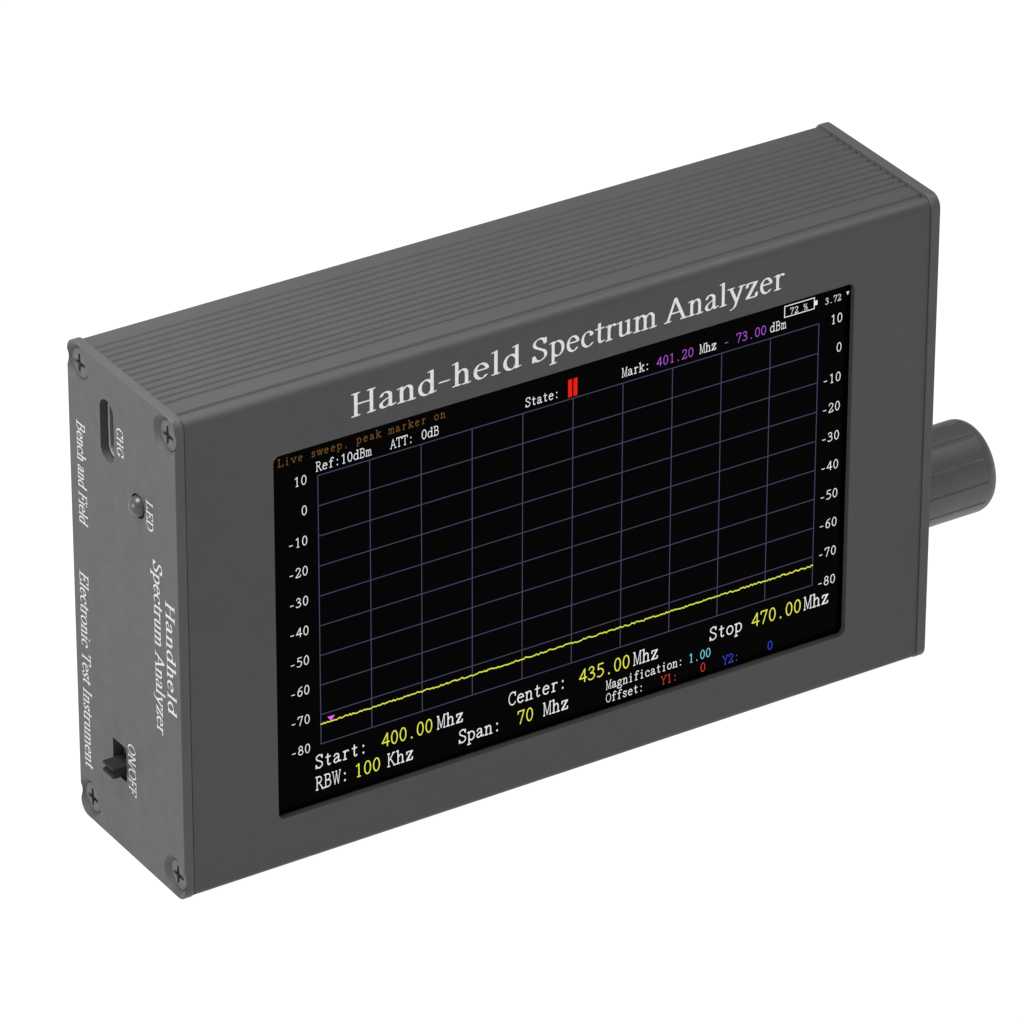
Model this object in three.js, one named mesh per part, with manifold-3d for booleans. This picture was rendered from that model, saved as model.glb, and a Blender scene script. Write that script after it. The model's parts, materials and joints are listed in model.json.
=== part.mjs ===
// A handheld spectrum analyzer: a ribbed aluminium case with a screen in front, a charging port, a status lamp
// and a power switch on its left end plate, and a tuning knob and an RF input on its right end plate.
//
// Units are millimetres. X runs to the right along the front, Y to the back and Z up. The case frame, in which
// every piece is drawn, has its zero at the middle of the case's underside. The exported group is shifted along
// X, so that its own zero is under the middle of the whole object, power switch and knob included.

import * as THREE from 'three';
import { mergeVertices } from 'three/addons/utils/BufferGeometryUtils.js';
import Module from 'manifold-3d';

const wasm = await Module();
wasm.setup();

// ---------------------------------------------------------------- driving dimensions

const CASE = { length: 124.6, depth: 29.3, height: 75.8 };
const PLATE = { thickness: 1.5, corner: 2, lip: 0.25, endLip: 0.45, segments: 5 };
const WALL = { front: 0.95, back: 1.3, top: 2, corner: 1.5 };
const GROOVE = { count: 13, pitch: 1.546, firstFromFront: 5.97, mouth: 0.8, floor: 0.4, depth: 0.4 };
const WINDOW = { fromLeft: 15.31, width: 94.74, fromBottom: 9.055, height: 57.05, corner: 1 };

const SCREW = { fromSide: 2.69, fromBottom: 3.26, sink: 3, head: 2.25, headDepth: 0.45, shank: 1.25, length: 8.2 };
const SCREW_HOLE = { plate: 1.5, tube: 1.35, boss: 2.55 };
const CROSS = { reach: 1.3, width: 0.55, depth: 0.8 };

const TAPE = { thickness: 0.15, border: 0.6 };
const GLASS = { fromLeft: 13.5, width: 101.5, fromBottom: 7.4, height: 61.3, thickness: 1.2 };
const TRAY = { depth: 1.6, wall: 0.8, floor: 0.3, gap: 0.1 };
const FLEX = { thickness: 0.2, bottom: 30, top: 46, start: 0.3, steps: 24 };

const BOARD = { front: 5.55, thickness: 1.6, endGap: 0.5, edgeGap: 0.3, notchDepth: 0.1, notchGap: 0.3 };
const RAIL = { height: 1.5, thickness: 0.9, gap: 0.25 };
const CAN = { left: 26, right: 50, bottom: 57, top: 67, height: 3.5, wall: 0.25 };
const CELL = { left: -38, right: 32, front: -9.9, back: -2.4, bottom: 12, top: 60, corner: 1.6 };
const PAD = { left: -30, right: 24, bottom: 20, top: 52 };
const LEAD = { radius: 0.6, sides: 8, steps: 20 };

const PORT = { y: 3.95, z: 65.9, width: 3.2, height: 8.94, wall: 0.3, length: 7.35, setBack: 1.1 };
const PORT_SLOT = { width: 3.7, height: 9.49 };
const TONGUE = { width: 0.7, height: 6.7, setBack: 1.4 };

const LAMP = { y: -4.15, z: 58.13, radius: 1.55, hole: 1.8, proud: 1.3, length: 5.3 };
const LAMP_FLANGE = { radius: 2, thickness: 1 };
const LAMP_LEAD = { size: 0.5, spacing: 2.54, reach: 2.8 };

const SWITCH = { y: 2.95, z: 14.27, slotWidth: 3.67, slotHeight: 5.49, travel: 2, proud: 2 };
const SWITCH_BODY = { depth: 4.8, width: 4.8, height: 9.2, gap: 0.3 };
const SWITCH_BODY_SLOT = { width: 3.4, height: 4.4, depth: 2.5 };
const SWITCH_KNOB = { width: 3, height: 1.6, notch: 1, ridge: 0.2, inside: 2.1 };

const KNOB = { y: -0.875, z: 21.1, radius: 7.1, start: 3.75, end: 17.7, rounding: 2.1, chamfer: 0.4 };
const KNOB_GROOVE = { count: 12, radius: 0.7, depth: 0.4, stop: 2.6 };
const KNOB_BORE = { recess: 4.1, recessDepth: 3.4, shaft: 3, clearance: 0.3 };
const SHAFT = { radius: 2.95, end: 14, flat: 1.5, flatStart: 7, chamfer: 0.4 };
const COLLAR = { radius: 3.5, length: 0.5, gap: 0.2 };
const BUSHING = { radius: 3.5, bore: 3.04, end: 5.5, plateHole: 3.7 };
const WASHER = { bore: 3.65, radius: 6.2, thickness: 0.4 };
const NUT = { bore: 3.6, acrossFlats: 10, thickness: 2 };
const ENCODER = { depth: 6.5, width: 12.2, height: 12.4, front: 2, chamber: 3.8, cover: 1.4 };
const PLUNGER = { radius: 3.4, thickness: 1.2, stem: 1.4, stemLength: 1.7, gap: 0.3 };

const RF = { y: 4.9, z: 54.3, radius: 3.175, plateHole: 3.4, end: 9, socket: 2.3, socketDepth: 4.5 };
const RF_BLOCK = { size: 6.5, thickness: 3.5, plateGap: 0.3, prong: 1, prongLength: 4 };
const RF_INSIDE = { insulator: 2.05, hole: 0.75 };
const RF_CONTACT = { radius: 0.64, tail: 1.6, setBack: 2, pocket: 0.42, pocketDepth: 3 };
const RF_NUT = { bore: 3.3, acrossFlats: 8, thickness: 2.2 };
const RF_WASHER = { bore: 3.35, radius: 4.6, thickness: 0.4 };

// ---------------------------------------------------------------- faces worked out from them

const X_OUTER = CASE.length / 2;
const X_INNER = X_OUTER - PLATE.thickness;
const Y_EDGE = CASE.depth / 2;

const TUBE = {
  front: -Y_EDGE + PLATE.lip,
  back: Y_EDGE - PLATE.lip,
  bottom: PLATE.endLip,
  top: CASE.height - PLATE.endLip,
};
const CAVITY = {
  front: TUBE.front + WALL.front,
  back: TUBE.back - WALL.back,
  bottom: TUBE.bottom + WALL.top,
  top: TUBE.top - WALL.top,
};
const GLASS_X = [GLASS.fromLeft - X_OUTER, GLASS.fromLeft - X_OUTER + GLASS.width];
const GLASS_Z = [GLASS.fromBottom, GLASS.fromBottom + GLASS.height];
const GLASS_FRONT = CAVITY.front + TAPE.thickness;
const GLASS_BACK = GLASS_FRONT + GLASS.thickness;
const TRAY_BACK = GLASS_BACK + TRAY.depth;
const BOARD_BACK = BOARD.front + BOARD.thickness;

// The four screw places on an end plate.
const SCREW_SPOTS = [
  { name: 'front_bottom', y: -Y_EDGE + SCREW.fromSide, z: SCREW.fromBottom },
  { name: 'front_top', y: -Y_EDGE + SCREW.fromSide, z: CASE.height - SCREW.fromBottom },
  { name: 'back_bottom', y: Y_EDGE - SCREW.fromSide, z: SCREW.fromBottom },
  { name: 'back_top', y: Y_EDGE - SCREW.fromSide, z: CASE.height - SCREW.fromBottom },
];
const SIDES = [{ name: 'left', sign: -1 }, { name: 'right', sign: 1 }];

const OVERLAP = 0.5; // how far a cutting tool runs past the face that it starts from
const ROUND = 20; // sides of an ordinary round piece
const FINE = 36; // sides of a running fit and of the knob

// ---------------------------------------------------------------- materials

const FINISHES = {
  anodised: [0x55565a, 0.5, 0.6],
  plate: [0x66676a, 0.55, 0.55],
  screw: [0x6a6b6e, 0.4, 0.8],
  glass: [0x040406, 0.08, 0],
  tape: [0x101010, 0.9, 0],
  tin: [0xb4b6b8, 0.35, 0.9],
  light_guide: [0xe8e8e2, 0.3, 0],
  flex: [0x9a5a1c, 0.5, 0],
  board: [0x14502c, 0.5, 0],
  chip: [0x17181a, 0.6, 0],
  connector: [0xd8d2c0, 0.5, 0],
  battery: [0x8d9196, 0.35, 0.5],
  foam: [0x26262a, 0.95, 0],
  wire_red: [0xa01818, 0.5, 0],
  wire_black: [0x141414, 0.5, 0],
  port: [0xc8c9cc, 0.2, 1],
  lamp: [0x8a8d90, 0.15, 0],
  switch_knob: [0x1c1c1e, 0.5, 0],
  knob: [0x232426, 0.4, 0.1],
  zinc: [0x9fa1a4, 0.35, 0.9],
  plastic: [0x2a3a52, 0.5, 0],
  gold: [0xc79a3c, 0.25, 1],
  insulator: [0xf0efe8, 0.6, 0],
};

function material(name) {
  const [color, roughness, metalness] = FINISHES[name];
  return new THREE.MeshStandardMaterial({ color, roughness, metalness });
}

// ---------------------------------------------------------------- solids

function solid(geometry) {
  const bare = geometry.clone();
  bare.deleteAttribute('normal');
  bare.deleteAttribute('uv');
  const merged = mergeVertices(bare);
  const index = merged.index.array;
  const triangles = [];
  for (let i = 0; i < index.length; i += 3) {
    const [a, b, c] = index.slice(i, i + 3);
    const flat = a === b || b === c || c === a;
    if (!flat) triangles.push(a, b, c);
  }
  const mesh = new wasm.Mesh({
    numProp: 3,
    vertProperties: new Float32Array(merged.attributes.position.array),
    triVerts: new Uint32Array(triangles),
  });
  return new wasm.Manifold(mesh);
}

function toGeometry(body) {
  const mesh = body.getMesh();
  const geometry = new THREE.BufferGeometry();
  geometry.setAttribute('position', new THREE.BufferAttribute(mesh.vertProperties, 3));
  geometry.setIndex(new THREE.BufferAttribute(mesh.triVerts, 1));
  geometry.computeVertexNormals();
  return geometry;
}

const cut = (body, ...tools) => tools.reduce((rest, tool) => rest.subtract(tool), body);
const join = (body, ...others) => others.reduce((whole, other) => whole.add(other), body);

// A box between two x, two y and two z.
function block(x, y, z) {
  const geometry = new THREE.BoxGeometry(x[1] - x[0], y[1] - y[0], z[1] - z[0]);
  geometry.translate((x[0] + x[1]) / 2, (y[0] + y[1]) / 2, (z[0] + z[1]) / 2);
  return solid(geometry);
}

// A box around a middle, for pieces that are centred on something.
const around = (middle, size) => [middle - size / 2, middle + size / 2];

// A shape drawn in (y, z) and pushed along X from one x to another.
function prismX(shape, x, curveSegments = 4) {
  const geometry = new THREE.ExtrudeGeometry(shape, { depth: x[1] - x[0], bevelEnabled: false, curveSegments });
  geometry.applyMatrix4(new THREE.Matrix4().set(0, 0, 1, x[0], 1, 0, 0, 0, 0, 1, 0, 0, 0, 0, 0, 1));
  return solid(geometry);
}

// A shape drawn in (x, z) and pushed along Y from one y to another.
function prismY(shape, y, curveSegments = 4) {
  const geometry = new THREE.ExtrudeGeometry(shape, { depth: y[1] - y[0], bevelEnabled: false, curveSegments });
  geometry.applyMatrix4(new THREE.Matrix4().set(1, 0, 0, 0, 0, 0, -1, y[1], 0, 1, 0, 0, 0, 0, 0, 1));
  return solid(geometry);
}

// A shape drawn in (x, y) and pushed up along Z from one z to another.
function prismZ(shape, z, curveSegments = 4) {
  const geometry = new THREE.ExtrudeGeometry(shape, { depth: z[1] - z[0], bevelEnabled: false, curveSegments });
  geometry.translate(0, 0, z[0]);
  return solid(geometry);
}

// A profile of [radius, x] pairs, on the axis at both ends, turned about the X line through (y, z).
function turned(profile, { y, z }, sides = ROUND) {
  const points = profile.map(([radius, x]) => new THREE.Vector2(radius, x));
  const geometry = new THREE.LatheGeometry(points, sides);
  geometry.applyMatrix4(new THREE.Matrix4().set(0, 1, 0, 0, 0, 0, 1, y, 1, 0, 0, z, 0, 0, 0, 1));
  return solid(geometry);
}

const rod = (radius, x, spot, sides = ROUND) => turned(
  [[0, x[0]], [radius, x[0]], [radius, x[1]], [0, x[1]]], spot, sides);

const ring = (outer, inner, x, spot, sides = ROUND) => cut(
  rod(outer, x, spot, sides), rod(inner, [x[0] - OVERLAP, x[1] + OVERLAP], spot, sides));

function roundedRect(u, v, corner) {
  const shape = new THREE.Shape();
  shape.moveTo(u[0] + corner, v[0]);
  shape.absarc(u[1] - corner, v[0] + corner, corner, -Math.PI / 2, 0, false);
  shape.absarc(u[1] - corner, v[1] - corner, corner, 0, Math.PI / 2, false);
  shape.absarc(u[0] + corner, v[1] - corner, corner, Math.PI / 2, Math.PI, false);
  shape.absarc(u[0] + corner, v[0] + corner, corner, Math.PI, 1.5 * Math.PI, false);
  return shape;
}

function polygon(points) {
  return new THREE.Shape(points.map(([u, v]) => new THREE.Vector2(u, v)));
}

function hexagon(acrossFlats, { y, z }) {
  const corner = acrossFlats / Math.sqrt(3);
  const angles = [0, 1, 2, 3, 4, 5].map((i) => i * Math.PI / 3);
  return polygon(angles.map((a) => [y + corner * Math.cos(a), z + corner * Math.sin(a)]));
}

function nut({ bore, acrossFlats, thickness }, start, spot) {
  const x = [start, start + thickness];
  return cut(prismX(hexagon(acrossFlats, spot), x), rod(bore, [x[0] - OVERLAP, x[1] + OVERLAP], spot));
}

// ---------------------------------------------------------------- case

// Adds the grooves of one long side to the tube's outline. Heading is 1 towards the back and -1 towards the front.
function addGrooves(outline, edge, inward, heading) {
  for (let i = 0; i < GROOVE.count; i += 1) {
    const place = heading > 0 ? i : GROOVE.count - 1 - i;
    const middle = -Y_EDGE + GROOVE.firstFromFront + place * GROOVE.pitch;
    const floor = edge + inward * GROOVE.depth;
    outline.lineTo(middle - heading * GROOVE.mouth / 2, edge);
    outline.lineTo(middle - heading * GROOVE.floor / 2, floor);
    outline.lineTo(middle + heading * GROOVE.floor / 2, floor);
    outline.lineTo(middle + heading * GROOVE.mouth / 2, edge);
  }
}

function tubeOutline() {
  const { front, back, bottom, top } = TUBE;
  const r = WALL.corner;
  const outline = new THREE.Shape();
  outline.moveTo(front + r, bottom);
  addGrooves(outline, bottom, 1, 1);
  outline.absarc(back - r, bottom + r, r, -Math.PI / 2, 0, false);
  outline.absarc(back - r, top - r, r, 0, Math.PI / 2, false);
  addGrooves(outline, top, -1, -1);
  outline.absarc(front + r, top - r, r, Math.PI / 2, Math.PI, false);
  outline.absarc(front + r, bottom + r, r, Math.PI, 1.5 * Math.PI, false);
  return outline;
}

// Two ribs at the bottom and two at the top, which hold the main board's edges between them.
function boardRails() {
  const x = [-X_INNER - OVERLAP, X_INNER + OVERLAP];
  const inFront = [BOARD.front - RAIL.gap - RAIL.thickness, BOARD.front - RAIL.gap];
  const behind = [BOARD_BACK + RAIL.gap, BOARD_BACK + RAIL.gap + RAIL.thickness];
  const low = [CAVITY.bottom - OVERLAP, CAVITY.bottom + RAIL.height];
  const high = [CAVITY.top - RAIL.height, CAVITY.top + OVERLAP];
  return [block(x, inFront, low), block(x, behind, low), block(x, inFront, high), block(x, behind, high)];
}

function housingTube() {
  const through = [-X_INNER - OVERLAP, X_INNER + OVERLAP];
  const bosses = SCREW_SPOTS.map((spot) => rod(SCREW_HOLE.boss, through, spot));
  const holes = SCREW_SPOTS.map((spot) => rod(SCREW_HOLE.tube, through, spot, ROUND / 2));
  const room = block(through, [CAVITY.front, CAVITY.back], [CAVITY.bottom, CAVITY.top]);
  const left = WINDOW.fromLeft - X_OUTER;
  const opening = roundedRect(
    [left, left + WINDOW.width], [WINDOW.fromBottom, WINDOW.fromBottom + WINDOW.height], WINDOW.corner);
  const window = prismY(opening, [TUBE.front - OVERLAP, CAVITY.front + OVERLAP]);
  const outside = prismX(tubeOutline(), [-X_INNER, X_INNER]);
  return cut(outside, cut(room, ...bosses, ...boardRails()), ...holes, window);
}

// A countersunk hole, drawn inwards from the outer face of the end plate on that side.
function countersink({ sign }, spot) {
  const depth = SCREW.sink - SCREW_HOLE.plate;
  const profile = [
    [0, -OVERLAP],
    [SCREW.sink + OVERLAP, -OVERLAP],
    [SCREW_HOLE.plate, depth],
    [SCREW_HOLE.plate, PLATE.thickness + OVERLAP],
    [0, PLATE.thickness + OVERLAP],
  ];
  return fromPlate(profile, sign, spot);
}

// Turns a profile whose x counts inwards from an end plate's outer face.
function fromPlate(profile, sign, spot) {
  const placed = profile.map(([radius, inwards]) => [radius, sign * (X_OUTER - inwards)]);
  return turned(sign < 0 ? placed : placed.reverse(), spot);
}

function plateBlank({ sign }) {
  const outline = roundedRect([-Y_EDGE, Y_EDGE], [0, CASE.height], PLATE.corner);
  return prismX(outline, sign < 0 ? [-X_OUTER, -X_INNER] : [X_INNER, X_OUTER], PLATE.segments);
}

const PLATE_CUT = { left: [-X_OUTER - OVERLAP, -X_INNER + OVERLAP], right: [X_INNER - OVERLAP, X_OUTER + OVERLAP] };

function leftPlate() {
  const side = SIDES[0];
  const slot = roundedRect(
    around(PORT.y, PORT_SLOT.width), around(PORT.z, PORT_SLOT.height), PORT_SLOT.width / 2);
  const switchSlot = block(
    PLATE_CUT.left, around(SWITCH.y, SWITCH.slotWidth), around(SWITCH.z, SWITCH.slotHeight));
  return cut(
    plateBlank(side),
    ...SCREW_SPOTS.map((spot) => countersink(side, spot)),
    prismX(slot, PLATE_CUT.left),
    rod(LAMP.hole, PLATE_CUT.left, LAMP),
    switchSlot,
  );
}

function rightPlate() {
  const side = SIDES[1];
  return cut(
    plateBlank(side),
    ...SCREW_SPOTS.map((spot) => countersink(side, spot)),
    rod(BUSHING.plateHole, PLATE_CUT.right, KNOB),
    rod(RF.plateHole, PLATE_CUT.right, RF),
  );
}

function plateScrew({ sign }, spot) {
  const neck = SCREW.headDepth + SCREW.head - SCREW.shank;
  const body = fromPlate([
    [0, SCREW.headDepth],
    [SCREW.head, SCREW.headDepth],
    [SCREW.shank, neck],
    [SCREW.shank, SCREW.length - SCREW.shank / 2],
    [SCREW.shank / 2, SCREW.length],
    [0, SCREW.length],
  ], sign, spot);
  const face = sign * (X_OUTER - SCREW.headDepth);
  const x = [face - CROSS.depth, face + CROSS.depth];
  return cut(
    body,
    block(x, around(spot.y, 2 * CROSS.reach), around(spot.z, CROSS.width)),
    block(x, around(spot.y, CROSS.width), around(spot.z, 2 * CROSS.reach)),
  );
}

// ---------------------------------------------------------------- display

function displayTape() {
  const left = WINDOW.fromLeft - X_OUTER;
  const inside = block(
    [left - TAPE.border, left + WINDOW.width + TAPE.border],
    [CAVITY.front - OVERLAP, GLASS_FRONT + OVERLAP],
    [WINDOW.fromBottom - TAPE.border, WINDOW.fromBottom + WINDOW.height + TAPE.border],
  );
  return cut(block(GLASS_X, [CAVITY.front, GLASS_FRONT], GLASS_Z), inside);
}

function trayPocket(gap) {
  const inset = TRAY.wall + gap;
  return [
    [GLASS_X[0] + inset, GLASS_X[1] - inset],
    [GLASS_Z[0] + inset, GLASS_Z[1] - inset],
  ];
}

function displayFrame() {
  const [x, z] = trayPocket(0);
  const pocket = block(x, [GLASS_BACK - OVERLAP, TRAY_BACK - TRAY.floor], z);
  return cut(block(GLASS_X, [GLASS_BACK, TRAY_BACK], GLASS_Z), pocket);
}

function displayBacklight() {
  const [x, z] = trayPocket(TRAY.gap);
  return block(x, [GLASS_BACK, TRAY_BACK - TRAY.floor], z);
}

// A flat ribbon whose middle line is drawn in (x, y), standing up between two z.
function ribbon(points, thickness, z) {
  const curve = new THREE.SplineCurve(points.map(([x, y]) => new THREE.Vector2(x, y)));
  const near = [];
  const far = [];
  for (let i = 0; i <= FLEX.steps; i += 1) {
    const middle = curve.getPoint(i / FLEX.steps);
    const tangent = curve.getTangent(i / FLEX.steps);
    const offset = new THREE.Vector2(-tangent.y, tangent.x).multiplyScalar(thickness / 2);
    near.push(middle.clone().add(offset));
    far.unshift(middle.clone().sub(offset));
  }
  return prismZ(new THREE.Shape([...near, ...far]), z);
}

// Leaves the glass's right edge, turns behind the tray and reaches the connector on the board.
function displayFlex() {
  const start = GLASS_X[1] + FLEX.start;
  const middle = (GLASS_FRONT + GLASS_BACK) / 2;
  const turn = [[0, 0], [1.8, 0.1], [3.2, 1.4], [2.6, 3.4]].map(([x, y]) => [start + x, middle + y]);
  const toBoard = [[50.5, -6.2], [47.4, -2.4], [46.2, 2], [44.9, 4.4], [43.9, 4.7]];
  return ribbon([...turn, ...toBoard], FLEX.thickness, [FLEX.bottom, FLEX.top]);
}

// ---------------------------------------------------------------- board and what stands on it

function mainBoard() {
  const end = X_INNER - BOARD.endGap;
  const low = CAVITY.bottom + BOARD.edgeGap;
  const high = CAVITY.top - BOARD.edgeGap;
  const notchX = X_INNER - RF_BLOCK.plateGap - RF_BLOCK.thickness - BOARD.notchDepth;
  const notchZ = around(RF.z, RF_BLOCK.size + 2 * BOARD.notchGap);
  const outline = polygon([
    [-end, low], [end, low], [end, notchZ[0]], [notchX, notchZ[0]],
    [notchX, notchZ[1]], [end, notchZ[1]], [end, high], [-end, high],
  ]);
  return prismY(outline, [BOARD.front, BOARD_BACK]);
}

// Plain packages on the front of the board: the middle (x, z), the two sides and the height of each.
const PACKAGES = [
  { name: 'flex_connector', finish: 'connector', x: 41.5, z: 38, width: 4.2, tall: 20, height: 2 },
  { name: 'processor_chip', finish: 'chip', x: -10, z: 30, width: 14, tall: 14, height: 1.4 },
  { name: 'interface_chip', finish: 'chip', x: -44, z: 60, width: 4, tall: 5, height: 1.5 },
  { name: 'charger_chip', finish: 'chip', x: -44, z: 50, width: 4, tall: 5, height: 1.5 },
  { name: 'power_inductor', finish: 'chip', x: -36, z: 52, width: 6, tall: 6, height: 3 },
  { name: 'synthesizer_chip', finish: 'chip', x: 44, z: 62, width: 5, tall: 5, height: 0.9 },
  { name: 'mixer_chip', finish: 'chip', x: 36, z: 62, width: 4, tall: 4, height: 0.9 },
  { name: 'reference_crystal', finish: 'tin', x: 30, z: 62, width: 3.2, tall: 5, height: 1.2 },
  { name: 'battery_connector', finish: 'connector', x: 38.5, z: 15.2, width: 6, tall: 4.5, height: 6 },
];

const onBoard = ({ x, z, width, tall, height }) => block(
  around(x, width), [BOARD.front - height, BOARD.front], around(z, tall));

function shieldCan() {
  const inner = block(
    [CAN.left + CAN.wall, CAN.right - CAN.wall],
    [BOARD.front - CAN.height + CAN.wall, BOARD.front + OVERLAP],
    [CAN.bottom + CAN.wall, CAN.top - CAN.wall],
  );
  const outer = block([CAN.left, CAN.right], [BOARD.front - CAN.height, BOARD.front], [CAN.bottom, CAN.top]);
  return cut(outer, inner);
}

function batteryCell() {
  const outline = roundedRect([CELL.left, CELL.right], [CELL.front, CELL.back], CELL.corner);
  return prismZ(outline, [CELL.bottom, CELL.top]);
}

function wire(points) {
  const path = new THREE.CatmullRomCurve3(points.map((p) => new THREE.Vector3(...p)));
  const section = new THREE.Shape();
  for (let i = 0; i < LEAD.sides; i += 1) {
    const a = 2 * Math.PI * i / LEAD.sides;
    const corner = [LEAD.radius * Math.cos(a), LEAD.radius * Math.sin(a)];
    if (i === 0) section.moveTo(...corner);
    else section.lineTo(...corner);
  }
  return solid(new THREE.ExtrudeGeometry(section, { steps: LEAD.steps, extrudePath: path }));
}

const POSITIVE_LEAD = [
  [32.4, -5.2, 20], [35.2, -5.6, 19.2], [38.6, -5.4, 16.8], [39.5, -3.4, 15.3], [39.5, -0.8, 15.2],
];
const NEGATIVE_LEAD = [
  [32.4, -5.2, 17], [34.5, -5.3, 16.6], [36.8, -5, 15.6], [37.5, -3.2, 15.2], [37.5, -0.8, 15.2],
];

// ---------------------------------------------------------------- left end: port, lamp and switch

function portShell() {
  const mouth = -X_OUTER + PORT.setBack;
  const x = [mouth, mouth + PORT.length];
  const stadium = (grow) => roundedRect(
    around(PORT.y, PORT.width + grow), around(PORT.z, PORT.height + grow), (PORT.width + grow) / 2);
  return cut(
    prismX(stadium(0), x),
    prismX(stadium(-2 * PORT.wall), [x[0] - OVERLAP, x[1] - PORT.wall]),
  );
}

function portTongue() {
  const backWall = -X_OUTER + PORT.setBack + PORT.length - PORT.wall;
  return block(
    [-X_OUTER + TONGUE.setBack, backWall], around(PORT.y, TONGUE.width), around(PORT.z, TONGUE.height));
}

function statusLamp() {
  const tip = -X_OUTER - LAMP.proud;
  const foot = tip + LAMP.length;
  const dome = [0, 1, 2, 3, 4, 5, 6].map((i) => {
    const a = (i / 6) * Math.PI / 2;
    return [LAMP.radius * Math.sin(a), tip + LAMP.radius * (1 - Math.cos(a))];
  });
  return turned([
    ...dome,
    [LAMP.radius, foot - LAMP_FLANGE.thickness],
    [LAMP_FLANGE.radius, foot - LAMP_FLANGE.thickness],
    [LAMP_FLANGE.radius, foot],
    [0, foot],
  ], LAMP);
}

// One bent lead, from the lamp's foot back to the board.
function lampLead(step) {
  const x = -X_OUTER - LAMP.proud + LAMP.length;
  const half = LAMP_LEAD.size / 2;
  const z = around(LAMP.z + step * LAMP_LEAD.spacing / 2, LAMP_LEAD.size);
  const far = x + LAMP_LEAD.reach;
  const bend = polygon([
    [x, LAMP.y - half], [far, LAMP.y - half], [far, BOARD.front], [far - LAMP_LEAD.size, BOARD.front],
    [far - LAMP_LEAD.size, LAMP.y + half], [x, LAMP.y + half],
  ]);
  return prismZ(bend, z);
}

function switchBody() {
  const front = -X_INNER + SWITCH_BODY.gap;
  const slot = block(
    [front - OVERLAP, front + SWITCH_BODY_SLOT.depth],
    around(SWITCH.y, SWITCH_BODY_SLOT.width), around(SWITCH.z, SWITCH_BODY_SLOT.height));
  const outer = block(
    [front, front + SWITCH_BODY.depth],
    [BOARD.front - SWITCH_BODY.width, BOARD.front], around(SWITCH.z, SWITCH_BODY.height));
  return cut(outer, slot);
}

// The knob rests at the lower end of its travel. A notch across its tip leaves two ridges for a fingernail.
function switchKnob() {
  const tip = -X_OUTER - SWITCH.proud;
  const root = -X_INNER + SWITCH_KNOB.inside;
  const z = SWITCH.z - SWITCH.travel / 2;
  const half = SWITCH_KNOB.height / 2;
  const profile = polygon([
    [tip, z - half], [tip, z - half + SWITCH_KNOB.ridge], [tip + SWITCH_KNOB.notch, z],
    [tip, z + half - SWITCH_KNOB.ridge], [tip, z + half], [root, z + half], [root, z - half],
  ]);
  return prismY(profile, around(SWITCH.y, SWITCH_KNOB.width));
}

// ---------------------------------------------------------------- right end: encoder and knob

function encoderBody() {
  const back = X_INNER - ENCODER.depth;
  return cut(
    block([back, X_INNER], around(KNOB.y, ENCODER.width), around(KNOB.z, ENCODER.height)),
    rod(ENCODER.chamber, [back - OVERLAP, X_INNER - ENCODER.front], KNOB, FINE),
    rod(BUSHING.bore, [back, X_INNER + OVERLAP], KNOB, FINE),
  );
}

function encoderCover() {
  const back = X_INNER - ENCODER.depth;
  return block([back - ENCODER.cover, back], around(KNOB.y, ENCODER.width), around(KNOB.z, ENCODER.height));
}

const SHAFT_INNER_END = X_INNER - ENCODER.front - COLLAR.gap - COLLAR.length;

function encoderPlunger() {
  const face = SHAFT_INNER_END - PLUNGER.gap;
  const shoulder = face - PLUNGER.thickness;
  const tip = shoulder - PLUNGER.stemLength;
  return turned([
    [0, tip], [PLUNGER.stem, tip], [PLUNGER.stem, shoulder],
    [PLUNGER.radius, shoulder], [PLUNGER.radius, face], [0, face],
  ], KNOB);
}

function encoderShaft() {
  const collarEnd = SHAFT_INNER_END + COLLAR.length;
  const tip = X_OUTER + SHAFT.end;
  const body = turned([
    [0, SHAFT_INNER_END], [COLLAR.radius, SHAFT_INNER_END], [COLLAR.radius, collarEnd],
    [SHAFT.radius, collarEnd], [SHAFT.radius, tip - SHAFT.chamfer], [SHAFT.radius - SHAFT.chamfer, tip], [0, tip],
  ], KNOB, FINE);
  const flat = block(
    [X_OUTER + SHAFT.flatStart, tip + OVERLAP],
    around(KNOB.y, 3 * SHAFT.radius),
    [KNOB.z + SHAFT.flat, KNOB.z + 2 * SHAFT.radius],
  );
  return cut(body, flat);
}

// The shaft's hole in the knob, with the same flat as the shaft.
function knobBore() {
  const recessEnd = X_OUTER + KNOB.start + KNOB_BORE.recessDepth;
  const x = [recessEnd - OVERLAP, X_OUTER + SHAFT.end + KNOB_BORE.clearance];
  const flat = block(
    [X_OUTER + SHAFT.flatStart + KNOB_BORE.clearance, x[1] + OVERLAP],
    around(KNOB.y, 3 * SHAFT.radius),
    [KNOB.z + SHAFT.flat + KNOB_BORE.shaft - SHAFT.radius, KNOB.z + 2 * SHAFT.radius],
  );
  return cut(rod(KNOB_BORE.shaft, x, KNOB, FINE), flat);
}

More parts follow.
